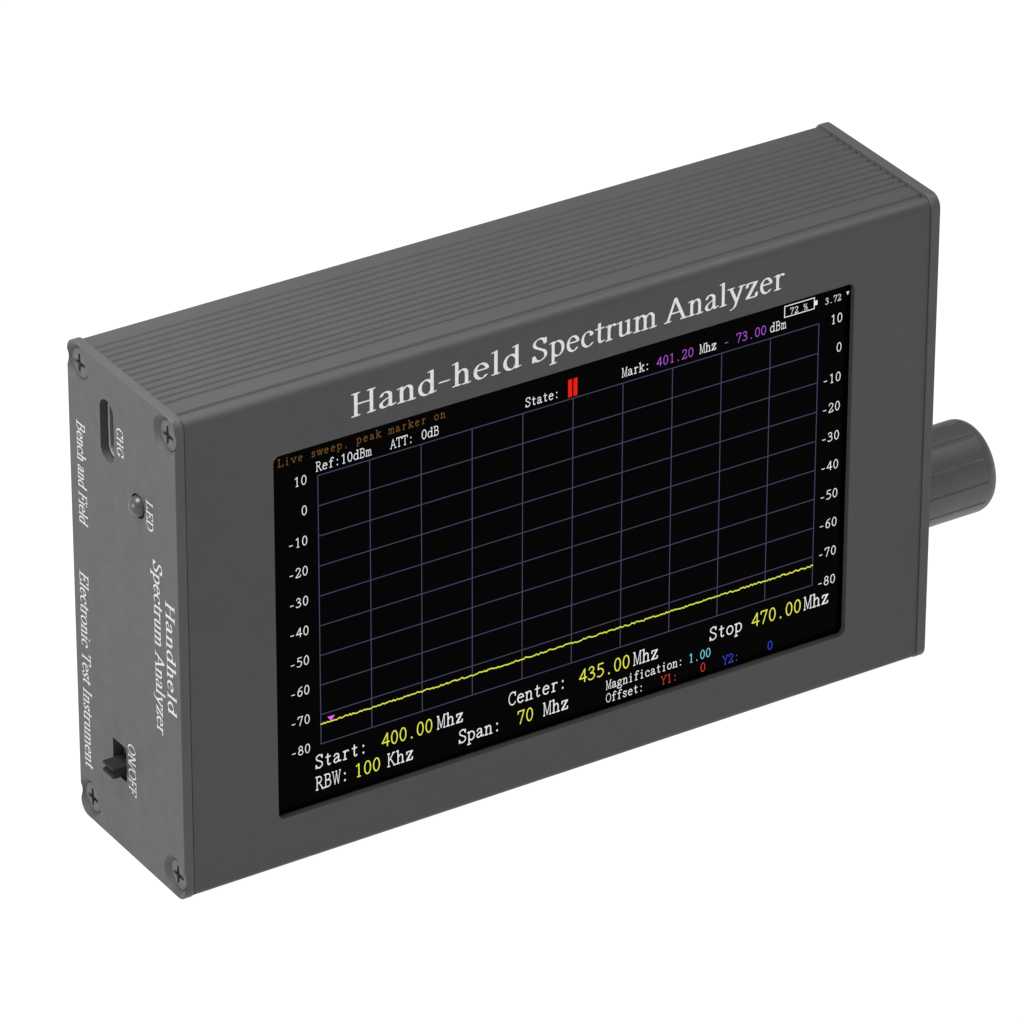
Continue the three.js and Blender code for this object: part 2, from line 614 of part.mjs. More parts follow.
function controlKnob() {
  const start = X_OUTER + KNOB.start;
  const end = X_OUTER + KNOB.end;
  const nose = [0, 1, 2, 3, 4, 5].map((i) => {
    const a = (i / 5) * Math.PI / 2;
    return [KNOB.radius - KNOB.rounding * (1 - Math.cos(a)), end - KNOB.rounding * (1 - Math.sin(a))];
  });
  const body = turned([
    [0, start], [KNOB.radius - KNOB.chamfer, start], [KNOB.radius, start + KNOB.chamfer], ...nose, [0, end],
  ], KNOB, FINE);
  const grooves = [];
  for (let i = 0; i < KNOB_GROOVE.count; i += 1) {
    const a = 2 * Math.PI * i / KNOB_GROOVE.count;
    const middle = KNOB.radius + KNOB_GROOVE.radius - KNOB_GROOVE.depth;
    const spot = { y: KNOB.y + middle * Math.cos(a), z: KNOB.z + middle * Math.sin(a) };
    grooves.push(rod(KNOB_GROOVE.radius, [start - OVERLAP, end - KNOB_GROOVE.stop], spot, 12));
  }
  const recess = rod(KNOB_BORE.recess, [start - OVERLAP, start + KNOB_BORE.recessDepth], KNOB);
  return cut(body, ...grooves, recess, knobBore());
}

// ---------------------------------------------------------------- right end: RF input

const RF_BLOCK_X = [X_INNER - RF_BLOCK.plateGap - RF_BLOCK.thickness, X_INNER - RF_BLOCK.plateGap];

// A square block with prongs that straddle the board's edge, and a threaded barrel out through the plate.
function rfShell() {
  const mouth = X_OUTER + RF.end;
  const prongX = [RF_BLOCK_X[0] - RF_BLOCK.prongLength, RF_BLOCK_X[0] + OVERLAP];
  const inFront = [BOARD.front - RF_BLOCK.prong, BOARD.front];
  const half = (RF_BLOCK.size - RF_BLOCK.prong) / 2;
  const prongs = [-half, half].map((step) => block(prongX, inFront, around(RF.z + step, RF_BLOCK.prong)));
  const whole = join(
    block(RF_BLOCK_X, around(RF.y, RF_BLOCK.size), around(RF.z, RF_BLOCK.size)),
    rod(RF.radius, [RF_BLOCK_X[1] - OVERLAP, mouth], RF),
    ...prongs,
  );
  return cut(
    whole,
    rod(RF.socket, [mouth - RF.socketDepth, mouth + OVERLAP], RF),
    rod(RF_INSIDE.insulator, [RF_BLOCK_X[0] - OVERLAP, mouth - RF.socketDepth + OVERLAP], RF),
  );
}

function rfInsulator() {
  const x = [RF_BLOCK_X[0], X_OUTER + RF.end - RF.socketDepth];
  return ring(RF_INSIDE.insulator, RF_INSIDE.hole, x, RF);
}

function rfContact() {
  const tip = X_OUTER + RF.end - RF_CONTACT.setBack;
  return cut(
    rod(RF_CONTACT.radius, [RF_BLOCK_X[0] - RF_CONTACT.tail, tip], RF, ROUND / 2),
    rod(RF_CONTACT.pocket, [tip - RF_CONTACT.pocketDepth, tip + OVERLAP], RF, ROUND / 2),
  );
}

// ---------------------------------------------------------------- assembly

const analyzer = new THREE.Group();
const switchTip = -X_OUTER - SWITCH.proud;
const knobEnd = X_OUTER + KNOB.end;
analyzer.position.x = -(switchTip + knobEnd) / 2;

function add(name, body, finish) {
  const mesh = new THREE.Mesh(toGeometry(body), material(finish));
  mesh.name = name;
  analyzer.add(mesh);
}

add('housing_tube', housingTube(), 'anodised');
add('left_end_plate', leftPlate(), 'plate');
add('right_end_plate', rightPlate(), 'plate');
for (const side of SIDES) {
  for (const spot of SCREW_SPOTS) add(`${side.name}_screw_${spot.name}`, plateScrew(side, spot), 'screw');
}

add('display_tape', displayTape(), 'tape');
add('display_glass', block(GLASS_X, [GLASS_FRONT, GLASS_BACK], GLASS_Z), 'glass');
add('display_frame', displayFrame(), 'tin');
add('display_backlight', displayBacklight(), 'light_guide');
add('display_flex', displayFlex(), 'flex');

add('main_board', mainBoard(), 'board');
for (const item of PACKAGES) add(item.name, onBoard(item), item.finish);
add('rf_shield_can', shieldCan(), 'tin');

add('battery_pad', block([PAD.left, PAD.right], [TRAY_BACK, CELL.front], [PAD.bottom, PAD.top]), 'foam');
add('battery_cell', batteryCell(), 'battery');
add('battery_lead_positive', wire(POSITIVE_LEAD), 'wire_red');
add('battery_lead_negative', wire(NEGATIVE_LEAD), 'wire_black');

add('charging_port_shell', portShell(), 'port');
add('charging_port_tongue', portTongue(), 'chip');
add('status_lamp', statusLamp(), 'lamp');
add('lamp_lead_upper', lampLead(1), 'tin');
add('lamp_lead_lower', lampLead(-1), 'tin');
add('power_switch_body', switchBody(), 'zinc');
add('power_switch_knob', switchKnob(), 'switch_knob');

add('encoder_body', encoderBody(), 'zinc');
add('encoder_rear_cover', encoderCover(), 'plastic');
add('encoder_bushing', ring(BUSHING.radius, BUSHING.bore, [X_INNER, X_OUTER + BUSHING.end], KNOB, FINE), 'zinc');
add('encoder_washer', ring(WASHER.radius, WASHER.bore, [X_OUTER, X_OUTER + WASHER.thickness], KNOB), 'zinc');
add('encoder_nut', nut(NUT, X_OUTER + WASHER.thickness, KNOB), 'zinc');
add('encoder_plunger', encoderPlunger(), 'plastic');
add('encoder_shaft', encoderShaft(), 'zinc');
add('control_knob', controlKnob(), 'knob');

add('rf_input_shell', rfShell(), 'gold');
add('rf_input_washer', ring(RF_WASHER.radius, RF_WASHER.bore, [X_OUTER, X_OUTER + RF_WASHER.thickness], RF), 'gold');
add('rf_input_nut', nut(RF_NUT, X_OUTER + RF_WASHER.thickness, RF), 'gold');
add('rf_input_insulator', rfInsulator(), 'insulator');
add('rf_input_contact', rfContact(), 'gold');

export default analyzer;
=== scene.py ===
import json
import math
import random

import bmesh
import bpy
from mathutils import Matrix, Quaternion, Vector
from mathutils.geometry import convex_hull_2d, delaunay_2d_cdt


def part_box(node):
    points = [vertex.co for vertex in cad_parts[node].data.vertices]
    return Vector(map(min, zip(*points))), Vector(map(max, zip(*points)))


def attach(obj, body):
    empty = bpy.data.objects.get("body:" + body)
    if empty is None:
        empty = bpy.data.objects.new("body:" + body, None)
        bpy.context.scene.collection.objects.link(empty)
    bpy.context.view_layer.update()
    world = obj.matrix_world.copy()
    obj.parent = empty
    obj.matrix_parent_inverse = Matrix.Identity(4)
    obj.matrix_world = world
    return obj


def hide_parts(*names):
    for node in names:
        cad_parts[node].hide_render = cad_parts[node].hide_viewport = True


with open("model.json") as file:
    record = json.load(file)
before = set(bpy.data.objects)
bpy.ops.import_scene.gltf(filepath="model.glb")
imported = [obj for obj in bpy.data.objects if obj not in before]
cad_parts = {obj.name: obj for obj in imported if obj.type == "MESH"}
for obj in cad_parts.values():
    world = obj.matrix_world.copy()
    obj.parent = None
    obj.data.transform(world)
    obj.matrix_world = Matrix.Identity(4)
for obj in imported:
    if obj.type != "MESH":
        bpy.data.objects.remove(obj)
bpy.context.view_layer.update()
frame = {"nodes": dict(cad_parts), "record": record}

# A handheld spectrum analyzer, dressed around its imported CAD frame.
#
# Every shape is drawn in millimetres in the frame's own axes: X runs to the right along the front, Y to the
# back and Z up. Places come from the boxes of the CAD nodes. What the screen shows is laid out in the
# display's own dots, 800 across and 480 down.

MM = 0.001
PAST = 0.5  # how far a cutting tool runs past the face that it starts from
LEAST = 0.001  # the least straight side or corner radius that an outline keeps
ROUND_STEPS = 14  # steps round each corner of a fully rounded slot
FLAT_SIDE = 4.0  # least area of a side that is shaded flat, in square millimetres
NOISE_DETAIL = 3.0
NOISE_RANGE = (0.3, 0.7)  # where most of the values of a noise lie
SHARP_EDGE = 32  # least angle in degrees between two faces that leaves their edge sharp


def box(node):
    """A CAD node's lowest and highest corner, in millimetres."""
    low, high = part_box(node)
    return Vector(low) / MM, Vector(high) / MM


def middle(node):
    low, high = box(node)
    return (low + high) / 2


BODY_OF = {node: body for body, nodes in frame["record"]["behaviour"]["bodies"].items() for node in nodes}

LEFT_LOW, LEFT_HIGH = box("left_end_plate")
RIGHT_LOW, RIGHT_HIGH = box("right_end_plate")
TUBE_LOW, TUBE_HIGH = box("housing_tube")
GLASS_FACE = box("display_glass")[0].y
LEFT_FACE = LEFT_LOW.x
RIGHT_FACE = RIGHT_HIGH.x
PLATE_THICKNESS = LEFT_HIGH.x - LEFT_LOW.x

# ---- driving dimensions, in millimetres

SEAM = {"left": 0.16, "right": 0.05}  # open joint between the tube and each end plate
PLATE_CORNER = 2.0
PLATE_EDGE = 0.15
TUBE_CORNER = 1.5
TUBE_LOW_CORNER = 1.0  # the corner between the front and the underside
WALL = {"front": 0.95, "back": 1.3, "top": 2.0}
GROOVE = {
    "count": 13, "pitch": 1.546, "first": 5.97, "mouth": 0.95, "floor": 0.5, "depth": 0.25, "ease": 0.12,
}
EDGE_GROOVE = {"first": 2.37, "mouth": 1.15, "floor": 0.5, "depth": 0.36, "ease": 0.14}
WINDOW = {
    "from_left": 15.31, "width": 94.96, "from_bottom": 8.46, "height": 57.38, "corner": 1.0, "edge": 0.2,
}
RAIL = {"height": 1.5, "thickness": 0.9, "gap": 0.25}

SCREW = {"hole": 1.5, "head": 2.25, "shank": 1.25, "boss": 2.55, "boss_hole": 1.35}
SINK = {"left": {"radius": 2.9, "edge": 0.15}, "right": {"radius": 2.58, "edge": 0.05}}
CROSS = {"reach": 1.5, "half_width": 0.24, "depth": 0.9, "waist": 0.36}
CROWN = [(0.22, 0.06), (0.06, 0.12), (0, 0.24)]  # a screw head's curve: in from its edge, and down
THREAD = {"pitch": 0.5, "depth": 0.16, "end": 0.6, "taper": 0.1}
PLATE_HOLES = {"control_knob": 3.7, "rf_input_nut": 3.4}

PORT = {"slot_width": 3.7, "slot_height": 9.49, "wall": 0.3, "edge": 0.1}
PORT_SHELL = {"lip": 0.06, "flare": 0.08, "taper_length": 0.3, "taper": 0.2}
TONGUE = {"edge": 0.12, "corner": 0.15}
LAMP = {"hole": 1.8, "radius": 1.55, "flange": 2.0, "flange_thickness": 1.0}
SWITCH = {"slot_width": 3.67, "slot_height": 5.49, "corner": 0.15, "edge": 0.12}
SLIDER = {"notch": 1.0, "ridge": 0.3, "edge": 0.12, "ridge_edge": 0.1, "foot_edge": 0.05, "narrowed": 0.96}

KNOB = {"radius": 7.1, "rounding": 2.1, "dish": 0.25, "recess": 4.1, "recess_depth": 3.4}
KNOB_SKIRT = [(0, 0.35), (0.1, 0.15), (0.35, 0)]  # its inner edge: along from the plate, and in from its side
KNOB_GROOVE = {"count": 12, "radius": 0.42, "depth": 0.16, "stop": 2.6, "turned": -7, "span": 0.45}
SHAFT_HOLE = {"radius": 3.0, "past_shaft": 0.3, "flat_height": 1.55, "flat_start": 0.8, "flat_size": 5}
NUT = {"bevel": 0.6, "lead_in": 0.35, "inner_flare": 0.5, "outer_flare": 0.35}
RF = {
    "barrel": 3.175, "mouth": 2.85, "block": 6.5, "block_depth": 3.5, "block_gap": 0.3, "prong": 1.0,
    "socket": 2.3, "socket_depth": 4.5, "seat": 2.05,
}

# ---- mesh helpers


def placed(name, data):
    """A new object in the scene."""
    thing = bpy.data.objects.new(name, data)
    bpy.context.scene.collection.objects.link(thing)
    return thing


def piece_from(name, points, faces):
    """A new object from points in millimetres, with its faces turned outwards."""
    mesh = bpy.data.meshes.new(name)
    mesh.from_pydata([Vector(p) * MM for p in points], [], faces)
    shape = bmesh.new()
    shape.from_mesh(mesh)
    bmesh.ops.recalc_face_normals(shape, faces=shape.faces)
    shape.to_mesh(mesh)
    shape.free()
    return placed(name, mesh)


def loft(name, rings):
    """A closed solid through rings of equally many points."""
    points = [p for ring in rings for p in ring]
    count = len(rings[0])
    faces = [list(range(count)), list(range(len(points) - count, len(points)))]
    for start in range(0, len(points) - count, count):
        for i in range(count):
            j = (i + 1) % count
            faces.append([start + i, start + j, start + count + j, start + count + i])
    return piece_from(name, points, faces)


def lathe(name, profile, centre, steps=64):
    """A solid turned about an X axis through centre, from (radius, x) pairs that begin and end at 0."""
    points, rows, faces = [], [], []
    for radius, x in profile:
        turns = [0.0] if radius == 0 else [2 * math.pi * i / steps for i in range(steps)]
        rows.append(list(range(len(points), len(points) + len(turns))))
        for a in turns:
            points.append((x, centre.y + radius * math.cos(a), centre.z + radius * math.sin(a)))
    for near, far in zip(rows, rows[1:]):
        for i in range(steps):
            j = (i + 1) % steps
            corners = [near[i % len(near)], near[j % len(near)], far[j % len(far)], far[i % len(far)]]
            faces.append(list(dict.fromkeys(corners)))
    return piece_from(name, points, faces)


def block(name, x, y, z):
    return loft(name, [[(a, y[0], z[0]), (a, y[1], z[0]), (a, y[1], z[1]), (a, y[0], z[1])] for a in x])


def combine(piece, tools, operation="DIFFERENCE"):
    """Cuts the tools from the piece, or joins them to it, and removes them."""
    for tool in tools:
        modifier = piece.modifiers.new("cut", "BOOLEAN")
        modifier.operation = operation
        modifier.solver = "EXACT"
        modifier.object = tool
        result = bpy.data.meshes.new_from_object(piece.evaluated_get(bpy.context.evaluated_depsgraph_get()))
        piece.modifiers.remove(modifier)
        piece.data = result
        bpy.data.objects.remove(tool)
    return piece


def rounded(corners, steps=5):
    """A closed outline from (u, v, radius) corners, with every corner as an arc."""
    outline = []
    for i, (u, v, radius) in enumerate(corners):
        corner = Vector((u, v))
        back = (Vector(corners[i - 1][:2]) - corner).normalized()
        ahead = (Vector(corners[(i + 1) % len(corners)][:2]) - corner).normalized()
        if radius == 0:
            outline.append((u, v))
            continue
        half = back.angle(ahead) / 2
        centre = corner + (back + ahead).normalized() * radius / math.sin(half)
        first = corner + back * radius / math.tan(half) - centre
        last = corner + ahead * radius / math.tan(half) - centre
        for k in range(steps + 1):
            outline.append(tuple(centre + first.slerp(last, k / steps) * radius))
    return outline


def rounded_box(u, v, radius, grow=0.0, steps=8):
    """A rectangle between two u and two v with rounded corners, grown outwards by grow."""
    low_u, high_u = u[0] - grow, u[1] + grow
    low_v, high_v = v[0] - grow, v[1] + grow
    r = max(radius + grow, LEAST)
    return rounded([(low_u, low_v, r), (high_u, low_v, r), (high_u, high_v, r), (low_u, high_v, r)], steps)


def quarter(radius, steps=4):
    """Pairs (along, inset) that round an edge: from the face that meets it to the side of the body."""
    angles = [math.pi / 2 * i / steps for i in range(steps + 1)]
    return [(radius * (1 - math.sin(a)), radius * (1 - math.cos(a))) for a in reversed(angles)]


def along_x(outline, x):
    return [(x, u, v) for u, v in outline]


def along_y(outline, y):
    return [(u, y, v) for u, v in outline]


def flatten(mesh):
    """Shades the large flat sides of a mesh as flat, so that rounded edges don't bend the light on them."""
    sides = {}
    for face in mesh.polygons:
        across = face.normal.dot(face.center) / MM
        key = tuple(round(v, 2) for v in (*face.normal, across))
        sides[key] = sides.get(key, []) + [(face.index, face.area)]
    smooth_faces = [True] * len(mesh.polygons)
    for faces in sides.values():
        if sum(area for _, area in faces) > FLAT_SIDE * MM * MM:
            for index, _ in faces:
                smooth_faces[index] = False
    mesh.polygons.foreach_set("use_smooth", smooth_faces)


def dress(piece, node, slot):
    """Makes a piece stand for a CAD node, on that node's body."""
    piece.data.materials.clear()
    piece.data.materials.append(FINISHES[slot])
    piece.data.shade_smooth()
    piece.data.set_sharp_from_angle(angle=math.radians(SHARP_EDGE))
    flatten(piece.data)
    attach(piece, BODY_OF[node])
    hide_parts(node)


# ---- materials


def fill(node, **values):
    """Sets a shader node's sockets; an underscore stands for a space in a socket's name."""
    for socket, value in values.items():
        node.inputs[socket.replace("_", " ")].default_value = value


class Finish:
    """Builds one material: a Principled shader with noise in its colour, roughness and surface."""

    def __init__(self, name, color, roughness, metallic=0.0, **sockets):
        self.name = name
        self.material = bpy.data.materials.new(name)
        self.material.use_nodes = True
        self.nodes = self.material.node_tree.nodes
        self.links = self.material.node_tree.links
        self.shader = self.nodes["Principled BSDF"]
        self.color = color
        self.roughness = roughness
        fill(self.shader, Base_Color=(*color, 1), Roughness=roughness, Metallic=metallic, **sockets)
        self.normal = None

    def noise(self, grain, stretch=(1, 1, 1)):
        """Noise whose grains measure about grain millimetres, longer where stretch is over 1."""
        place = self.nodes.new("ShaderNodeTexCoord")
        mapping = self.nodes.new("ShaderNodeMapping")
        fill(mapping, Scale=[1 / (grain * MM * s) for s in stretch])
        noise = self.nodes.new("ShaderNodeTexNoise")
        fill(noise, Scale=1.0, Detail=NOISE_DETAIL)
        self.links.new(place.outputs["Object"], mapping.inputs["Vector"])
        self.links.new(mapping.outputs["Vector"], noise.inputs["Vector"])
        return noise.outputs["Fac"]

    def spread(self, value, low, high):
        """Carries a noise value to a range from low to high."""
        change = self.nodes.new("ShaderNodeMapRange")
        fill(change, From_Min=NOISE_RANGE[0], From_Max=NOISE_RANGE[1], To_Min=low, To_Max=high)
        self.links.new(value, change.inputs["Value"])
        return change.outputs["Result"]

    def tint(self, value, other, amount=1.0):
        """Mixes the colour towards another one by a noise value."""
        mix = self.nodes.new("ShaderNodeMix")
        mix.data_type = "RGBA"
        current = self.shader.inputs["Base Color"]
        if current.is_linked:
            self.links.new(current.links[0].from_socket, mix.inputs["A"])
        else:
            fill(mix, A=current.default_value)
        fill(mix, B=(*other, 1))
        self.links.new(self.spread(value, 0, amount), mix.inputs["Factor"])
        self.links.new(mix.outputs["Result"], current)
        return self

    def mottle(self, grain, amount, stretch=(1, 1, 1)):
        """Darkens and lightens the colour a little in patches."""
        darker = [c * (1 - amount) for c in self.color]
        lighter = [c * (1 + amount) for c in self.color]
        fill(self.shader, Base_Color=(*darker, 1))
        return self.tint(self.noise(grain, stretch), lighter)

    def gloss(self, grain, amount, stretch=(1, 1, 1)):
        value = self.spread(self.noise(grain, stretch), self.roughness - amount, self.roughness + amount)
        self.links.new(value, self.shader.inputs["Roughness"])
        return self

    def bump(self, grain, depth, stretch=(1, 1, 1)):
        """Raises the surface in grains, by depth millimetres."""
        bump = self.nodes.new("ShaderNodeBump")
        fill(bump, Strength=1.0, Distance=depth * MM)
        self.links.new(self.noise(grain, stretch), bump.inputs["Height"])
        if self.normal:
            self.links.new(self.normal, bump.inputs["Normal"])
        self.normal = bump.outputs["Normal"]
        self.links.new(self.normal, self.shader.inputs["Normal"])
        return self


def cast(name, color, roughness, metallic=0.0, grain=0.6, vary=0.12, depth=0.004, **sockets):
    """An ordinary finish: mottled, slightly uneven in gloss, with a fine surface grain."""
    finish = Finish(name, color, roughness, metallic, **sockets)
    return finish.mottle(grain * 6, vary).gloss(grain * 3, roughness * 0.15).bump(grain, depth)


def anodised_tube():
    """Bead-blasted, anodised aluminium with faint drawing lines along the extrusion."""
    finish = Finish("case_anodised", (0.0614, 0.0614, 0.063), 0.5, 0.1, Specular_IOR_Level=0.3)
    finish.mottle(9, 0.03).tint(finish.noise(0.5, (60, 1, 1)), (0.07, 0.07, 0.0725), 0.25)
    return finish.gloss(2.5, 0.05).bump(0.12, 0.0025).bump(0.35, 0.0006, (80, 1, 1))


def anodised_plate():
    finish = Finish("plate_anodised", (0.072, 0.072, 0.074), 0.5, 0.1, Specular_IOR_Level=0.3)
    finish.mottle(6, 0.04).tint(finish.noise(0.3), (0.086, 0.086, 0.089), 0.4)
    return finish.gloss(2.5, 0.05).bump(0.14, 0.003)


def silkscreen(name, brightness):
    return Finish(name, (brightness, brightness, brightness * 1.01), 0.55).mottle(0.5, 0.08).bump(0.08, 0.001)


def lit(name, color):
    """A lit colour of the display, a little uneven from dot to dot."""
    finish = Finish(name, (0, 0, 0), 0.6, 0.0, Specular_IOR_Level=0.0, Emission_Strength=1.0)
    mix = finish.nodes.new("ShaderNodeMix")
    mix.data_type = "RGBA"
    fill(mix, A=(*[c * 0.92 for c in color], 1), B=(*color, 1))
    finish.links.new(finish.spread(finish.noise(0.25), 0, 1), mix.inputs["Factor"])
    finish.links.new(mix.outputs["Result"], finish.shader.inputs["Emission Color"])
    return finish.material


def circuit_board():
    """Solder mask with the copper pour showing faintly through it."""
    finish = Finish("circuit_board", (0.006, 0.06, 0.02), 0.38)
    finish.tint(finish.noise(1.2, (4, 1, 1)), (0.012, 0.11, 0.035), 0.9)
    return finish.gloss(1.5, 0.06).bump(0.5, 0.01, (3, 1, 1))


def srgb(r, g, b):
    """A colour as the eye sees it, 0 to 255, as the linear values that a shader takes."""
    linear = []
    for c in (r / 255, g / 255, b / 255):
        linear.append(c / 12.92 if c <= 0.04045 else ((c + 0.055) / 1.055) ** 2.4)
    return tuple(linear)


FINISH_LIST = [
    anodised_tube(),
    anodised_plate(),
    silkscreen("lettering", 0.86),
    silkscreen("worn_lettering", 0.55),
    Finish("screw_metal", (0.11, 0.11, 0.113), 0.42, 0.6)
        .mottle(0.8, 0.15).gloss(0.4, 0.08).bump(0.15, 0.002),
    Finish("screen_glass", (0.0006, 0.0006, 0.0007), 0.12, Specular_IOR_Level=0.01).gloss(5, 0.02),
    cast("adhesive_tape", (0.01, 0.01, 0.01), 0.85, depth=0.01),
    cast("tin_plate", (0.55, 0.55, 0.56), 0.32, 0.95, grain=0.4, vary=0.06),
    cast("light_guide", (0.8, 0.8, 0.76), 0.35, grain=0.8, vary=0.03),
    cast("flex_film", (0.34, 0.11, 0.015), 0.4, grain=0.5, vary=0.15),
    circuit_board(),
    cast("chip_package", (0.012, 0.012, 0.013), 0.55, grain=0.1, vary=0.1),
    cast("connector_nylon", (0.66, 0.62, 0.5), 0.45, vary=0.04),
    cast("battery_wrap", (0.32, 0.34, 0.36), 0.3, 0.6, grain=1.5, vary=0.05, depth=0.03),
    cast("foam", (0.02, 0.02, 0.024), 0.95, grain=0.3, depth=0.08),
    cast("wire_red", (0.36, 0.01, 0.01), 0.45, vary=0.06),
    cast("wire_black", (0.01, 0.01, 0.01), 0.45, vary=0.06),
    cast("port_metal", (0.3, 0.3, 0.305), 0.6, 0.35, grain=0.3, vary=0.12),
    Finish("lamp_resin", (0.075, 0.075, 0.078), 0.2, Transmission_Weight=0.2, IOR=1.45)
        .mottle(1.5, 0.03).gloss(0.8, 0.02),
    cast("switch_plastic", (0.018, 0.018, 0.0185), 0.65, grain=0.15, vary=0.12,
         Specular_IOR_Level=0.2),
    # The switch body is a lighter grey than its real plastic: painted light that lifts the shade inside the
    # deep slot.
    cast("switch_base_painted_light", (0.28, 0.28, 0.283), 0.6, grain=0.2, vary=0.1),
    cast("knob_plastic", (0.075, 0.075, 0.077), 0.44, grain=0.12, vary=0.1, depth=0.002),
    cast("zinc", (0.42, 0.42, 0.43), 0.33, 0.92, grain=0.3, vary=0.08),
    cast("encoder_plastic", (0.02, 0.04, 0.09), 0.5, vary=0.08),
    cast("rf_gold", (0.58, 0.36, 0.09), 0.24, 1.0, grain=0.3, vary=0.08),
    cast("rf_insulator", (0.82, 0.81, 0.77), 0.5, vary=0.03),
]
FINISHES = {finish.name: finish.material for finish in FINISH_LIST}

# ---- case

SCREW_NODES = [
    f"{side}_screw_{depth}_{height}"
    for side in ("left", "right") for depth in ("front", "back") for height in ("bottom", "top")
]


def tube_edge(z, inwards, from_front):
    """The corners of the grooves along the tube's top or bottom, in order from the front or from the back."""
    grooves = [(EDGE_GROOVE["first"], EDGE_GROOVE)]
    grooves += [(GROOVE["first"] + i * GROOVE["pitch"], GROOVE) for i in range(GROOVE["count"])]
    heading = 1 if from_front else -1
    corners = []
    for from_front_edge, shape in grooves[::heading]:
        y = LEFT_LOW.y + from_front_edge
        floor = z + inwards * shape["depth"]
        corners += [
            (y - heading * shape["mouth"] / 2, z, shape["ease"]),
            (y - heading * shape["floor"] / 2, floor, shape["ease"]),
            (y + heading * shape["floor"] / 2, floor, shape["ease"]),
            (y + heading * shape["mouth"] / 2, z, shape["ease"]),
        ]
    return corners


def tube_outline():
    low, high = TUBE_LOW, TUBE_HIGH
    corners = [(low.y, low.z, TUBE_LOW_CORNER)]
    corners += tube_edge(low.z, 1, True)
    corners += [(high.y, low.z, TUBE_CORNER), (high.y, high.z, TUBE_CORNER)]
    corners += tube_edge(high.z, -1, False)
    corners += [(low.y, high.z, TUBE_CORNER)]
    return rounded(corners, 8)


def case_cavity():
    """The room inside the tube, less its screw bosses and the rails that hold the board's edges."""
    x = (TUBE_LOW.x - PAST, TUBE_HIGH.x + PAST)
    y = (TUBE_LOW.y + WALL["front"], TUBE_HIGH.y - WALL["back"])
    z = (TUBE_LOW.z + WALL["top"], TUBE_HIGH.z - WALL["top"])
    board_low, board_high = box("main_board")
    rails = []
    for edge in (board_low.y - RAIL["gap"] - RAIL["thickness"], board_high.y + RAIL["gap"]):
        across = (edge, edge + RAIL["thickness"])
        rails.append(block("rail", (x[0] - 1, x[1] + 1), across, (z[0] - 1, z[0] + RAIL["height"])))
        rails.append(block("rail", (x[0] - 1, x[1] + 1), across, (z[1] - RAIL["height"], z[1] + 1)))
    bosses = [rod("boss", SCREW["boss"], (x[0] - 1, x[1] + 1), middle(node)) for node in SCREW_NODES[:4]]
    return combine(block("cavity", x, y, z), rails + bosses)


def rod(name, radius, x, centre, steps=40):
    return lathe(name, [(0, x[0]), (radius, x[0]), (radius, x[1]), (0, x[1])], centre, steps)


def window_tool():
    """Cuts the window, with a small rounded edge at the front."""
    left = LEFT_LOW.x + WINDOW["from_left"]
    u = (left, left + WINDOW["width"])
    v = (WINDOW["from_bottom"], WINDOW["from_bottom"] + WINDOW["height"])
    edge = WINDOW["edge"]
    rings = [along_y(rounded_box(u, v, WINDOW["corner"], edge), TUBE_LOW.y - PAST)]
    for along, inset in quarter(edge):
        rings.append(along_y(rounded_box(u, v, WINDOW["corner"], edge - inset), TUBE_LOW.y + edge - along))
    rings.append(along_y(rounded_box(u, v, WINDOW["corner"]), TUBE_LOW.y + WALL["front"] + PAST))
    return loft("window", rings)


def housing_tube():
    x = (TUBE_LOW.x + SEAM["left"], TUBE_HIGH.x - SEAM["right"])
    tube = loft("housing_extrusion", [along_x(tube_outline(), a) for a in x])
    through = (x[0] - 1, x[1] + 1)
    holes = [rod("hole", SCREW["boss_hole"], through, middle(node), 24) for node in SCREW_NODES[:4]]
    combine(tube, [case_cavity(), *holes, window_tool()])
    dress(tube, "housing_tube", "case_anodised")


def plate_blank(name, low, high):
    """An end plate with all its outer edges slightly rounded."""
    eased = [(low.x + along, inset) for along, inset in quarter(PLATE_EDGE)]
    eased += [(high.x - along, inset) for along, inset in reversed(quarter(PLATE_EDGE))]
    u, v = (low.y, high.y), (low.z, high.z)
    return loft(name, [along_x(rounded_box(u, v, PLATE_CORNER, -inset), x) for x, inset in eased])


def countersink(sign, centre):
    """A countersunk hole with a softened rim, drawn from the outer face of an end plate."""
    face, side = (LEFT_FACE, "left") if sign < 0 else (RIGHT_FACE, "right")
    radius, rim = SINK[side]["radius"], SINK[side]["edge"]
    slope = radius - SCREW["hole"]
    profile = [
        (0, PAST), (radius + rim, PAST), (radius + rim, 0), (radius, -rim * 0.6),
        (SCREW["hole"], -rim * 0.6 - slope), (SCREW["hole"], -PLATE_THICKNESS - PAST),
        (0, -PLATE_THICKNESS - PAST),
    ]
    return lathe("countersink", [(radius, face + sign * out) for radius, out in profile], centre, 48)


def eased_hole(x_face, outline, edge):
    """A tool that opens the left plate and eases the hole's outer edge; outline(grow) gives its shape."""
    rings = [along_x(outline(edge), x_face - PAST)]
    for along, inset in quarter(edge):
        rings.append(along_x(outline(edge - inset), x_face + edge - along))
    rings.append(along_x(outline(0), x_face + PLATE_THICKNESS + PAST))
    return loft("opening", rings)


def slot_outline(sizes, y, z, corner, grow, steps):
    across, up = sizes["slot_width"] / 2, sizes["slot_height"] / 2
    return rounded_box((y - across, y + across), (z - up, z + up), corner, grow, steps)


def port_outline(grow):
    centre = middle("charging_port_shell")
    return slot_outline(PORT, centre.y, centre.z, PORT["slot_width"] / 2 - LEAST, grow, ROUND_STEPS)


def lamp_outline(grow):
    centre = middle("status_lamp")
    turns = [2 * math.pi * i / 48 for i in range(48)]
    r = LAMP["hole"] + grow
    return [(centre.y + r * math.cos(a), centre.z + r * math.sin(a)) for a in turns]


def switch_outline(grow):
    y, z = middle("power_switch_knob").y, middle("power_switch_body").z
    return slot_outline(SWITCH, y, z, SWITCH["corner"], grow, 4)


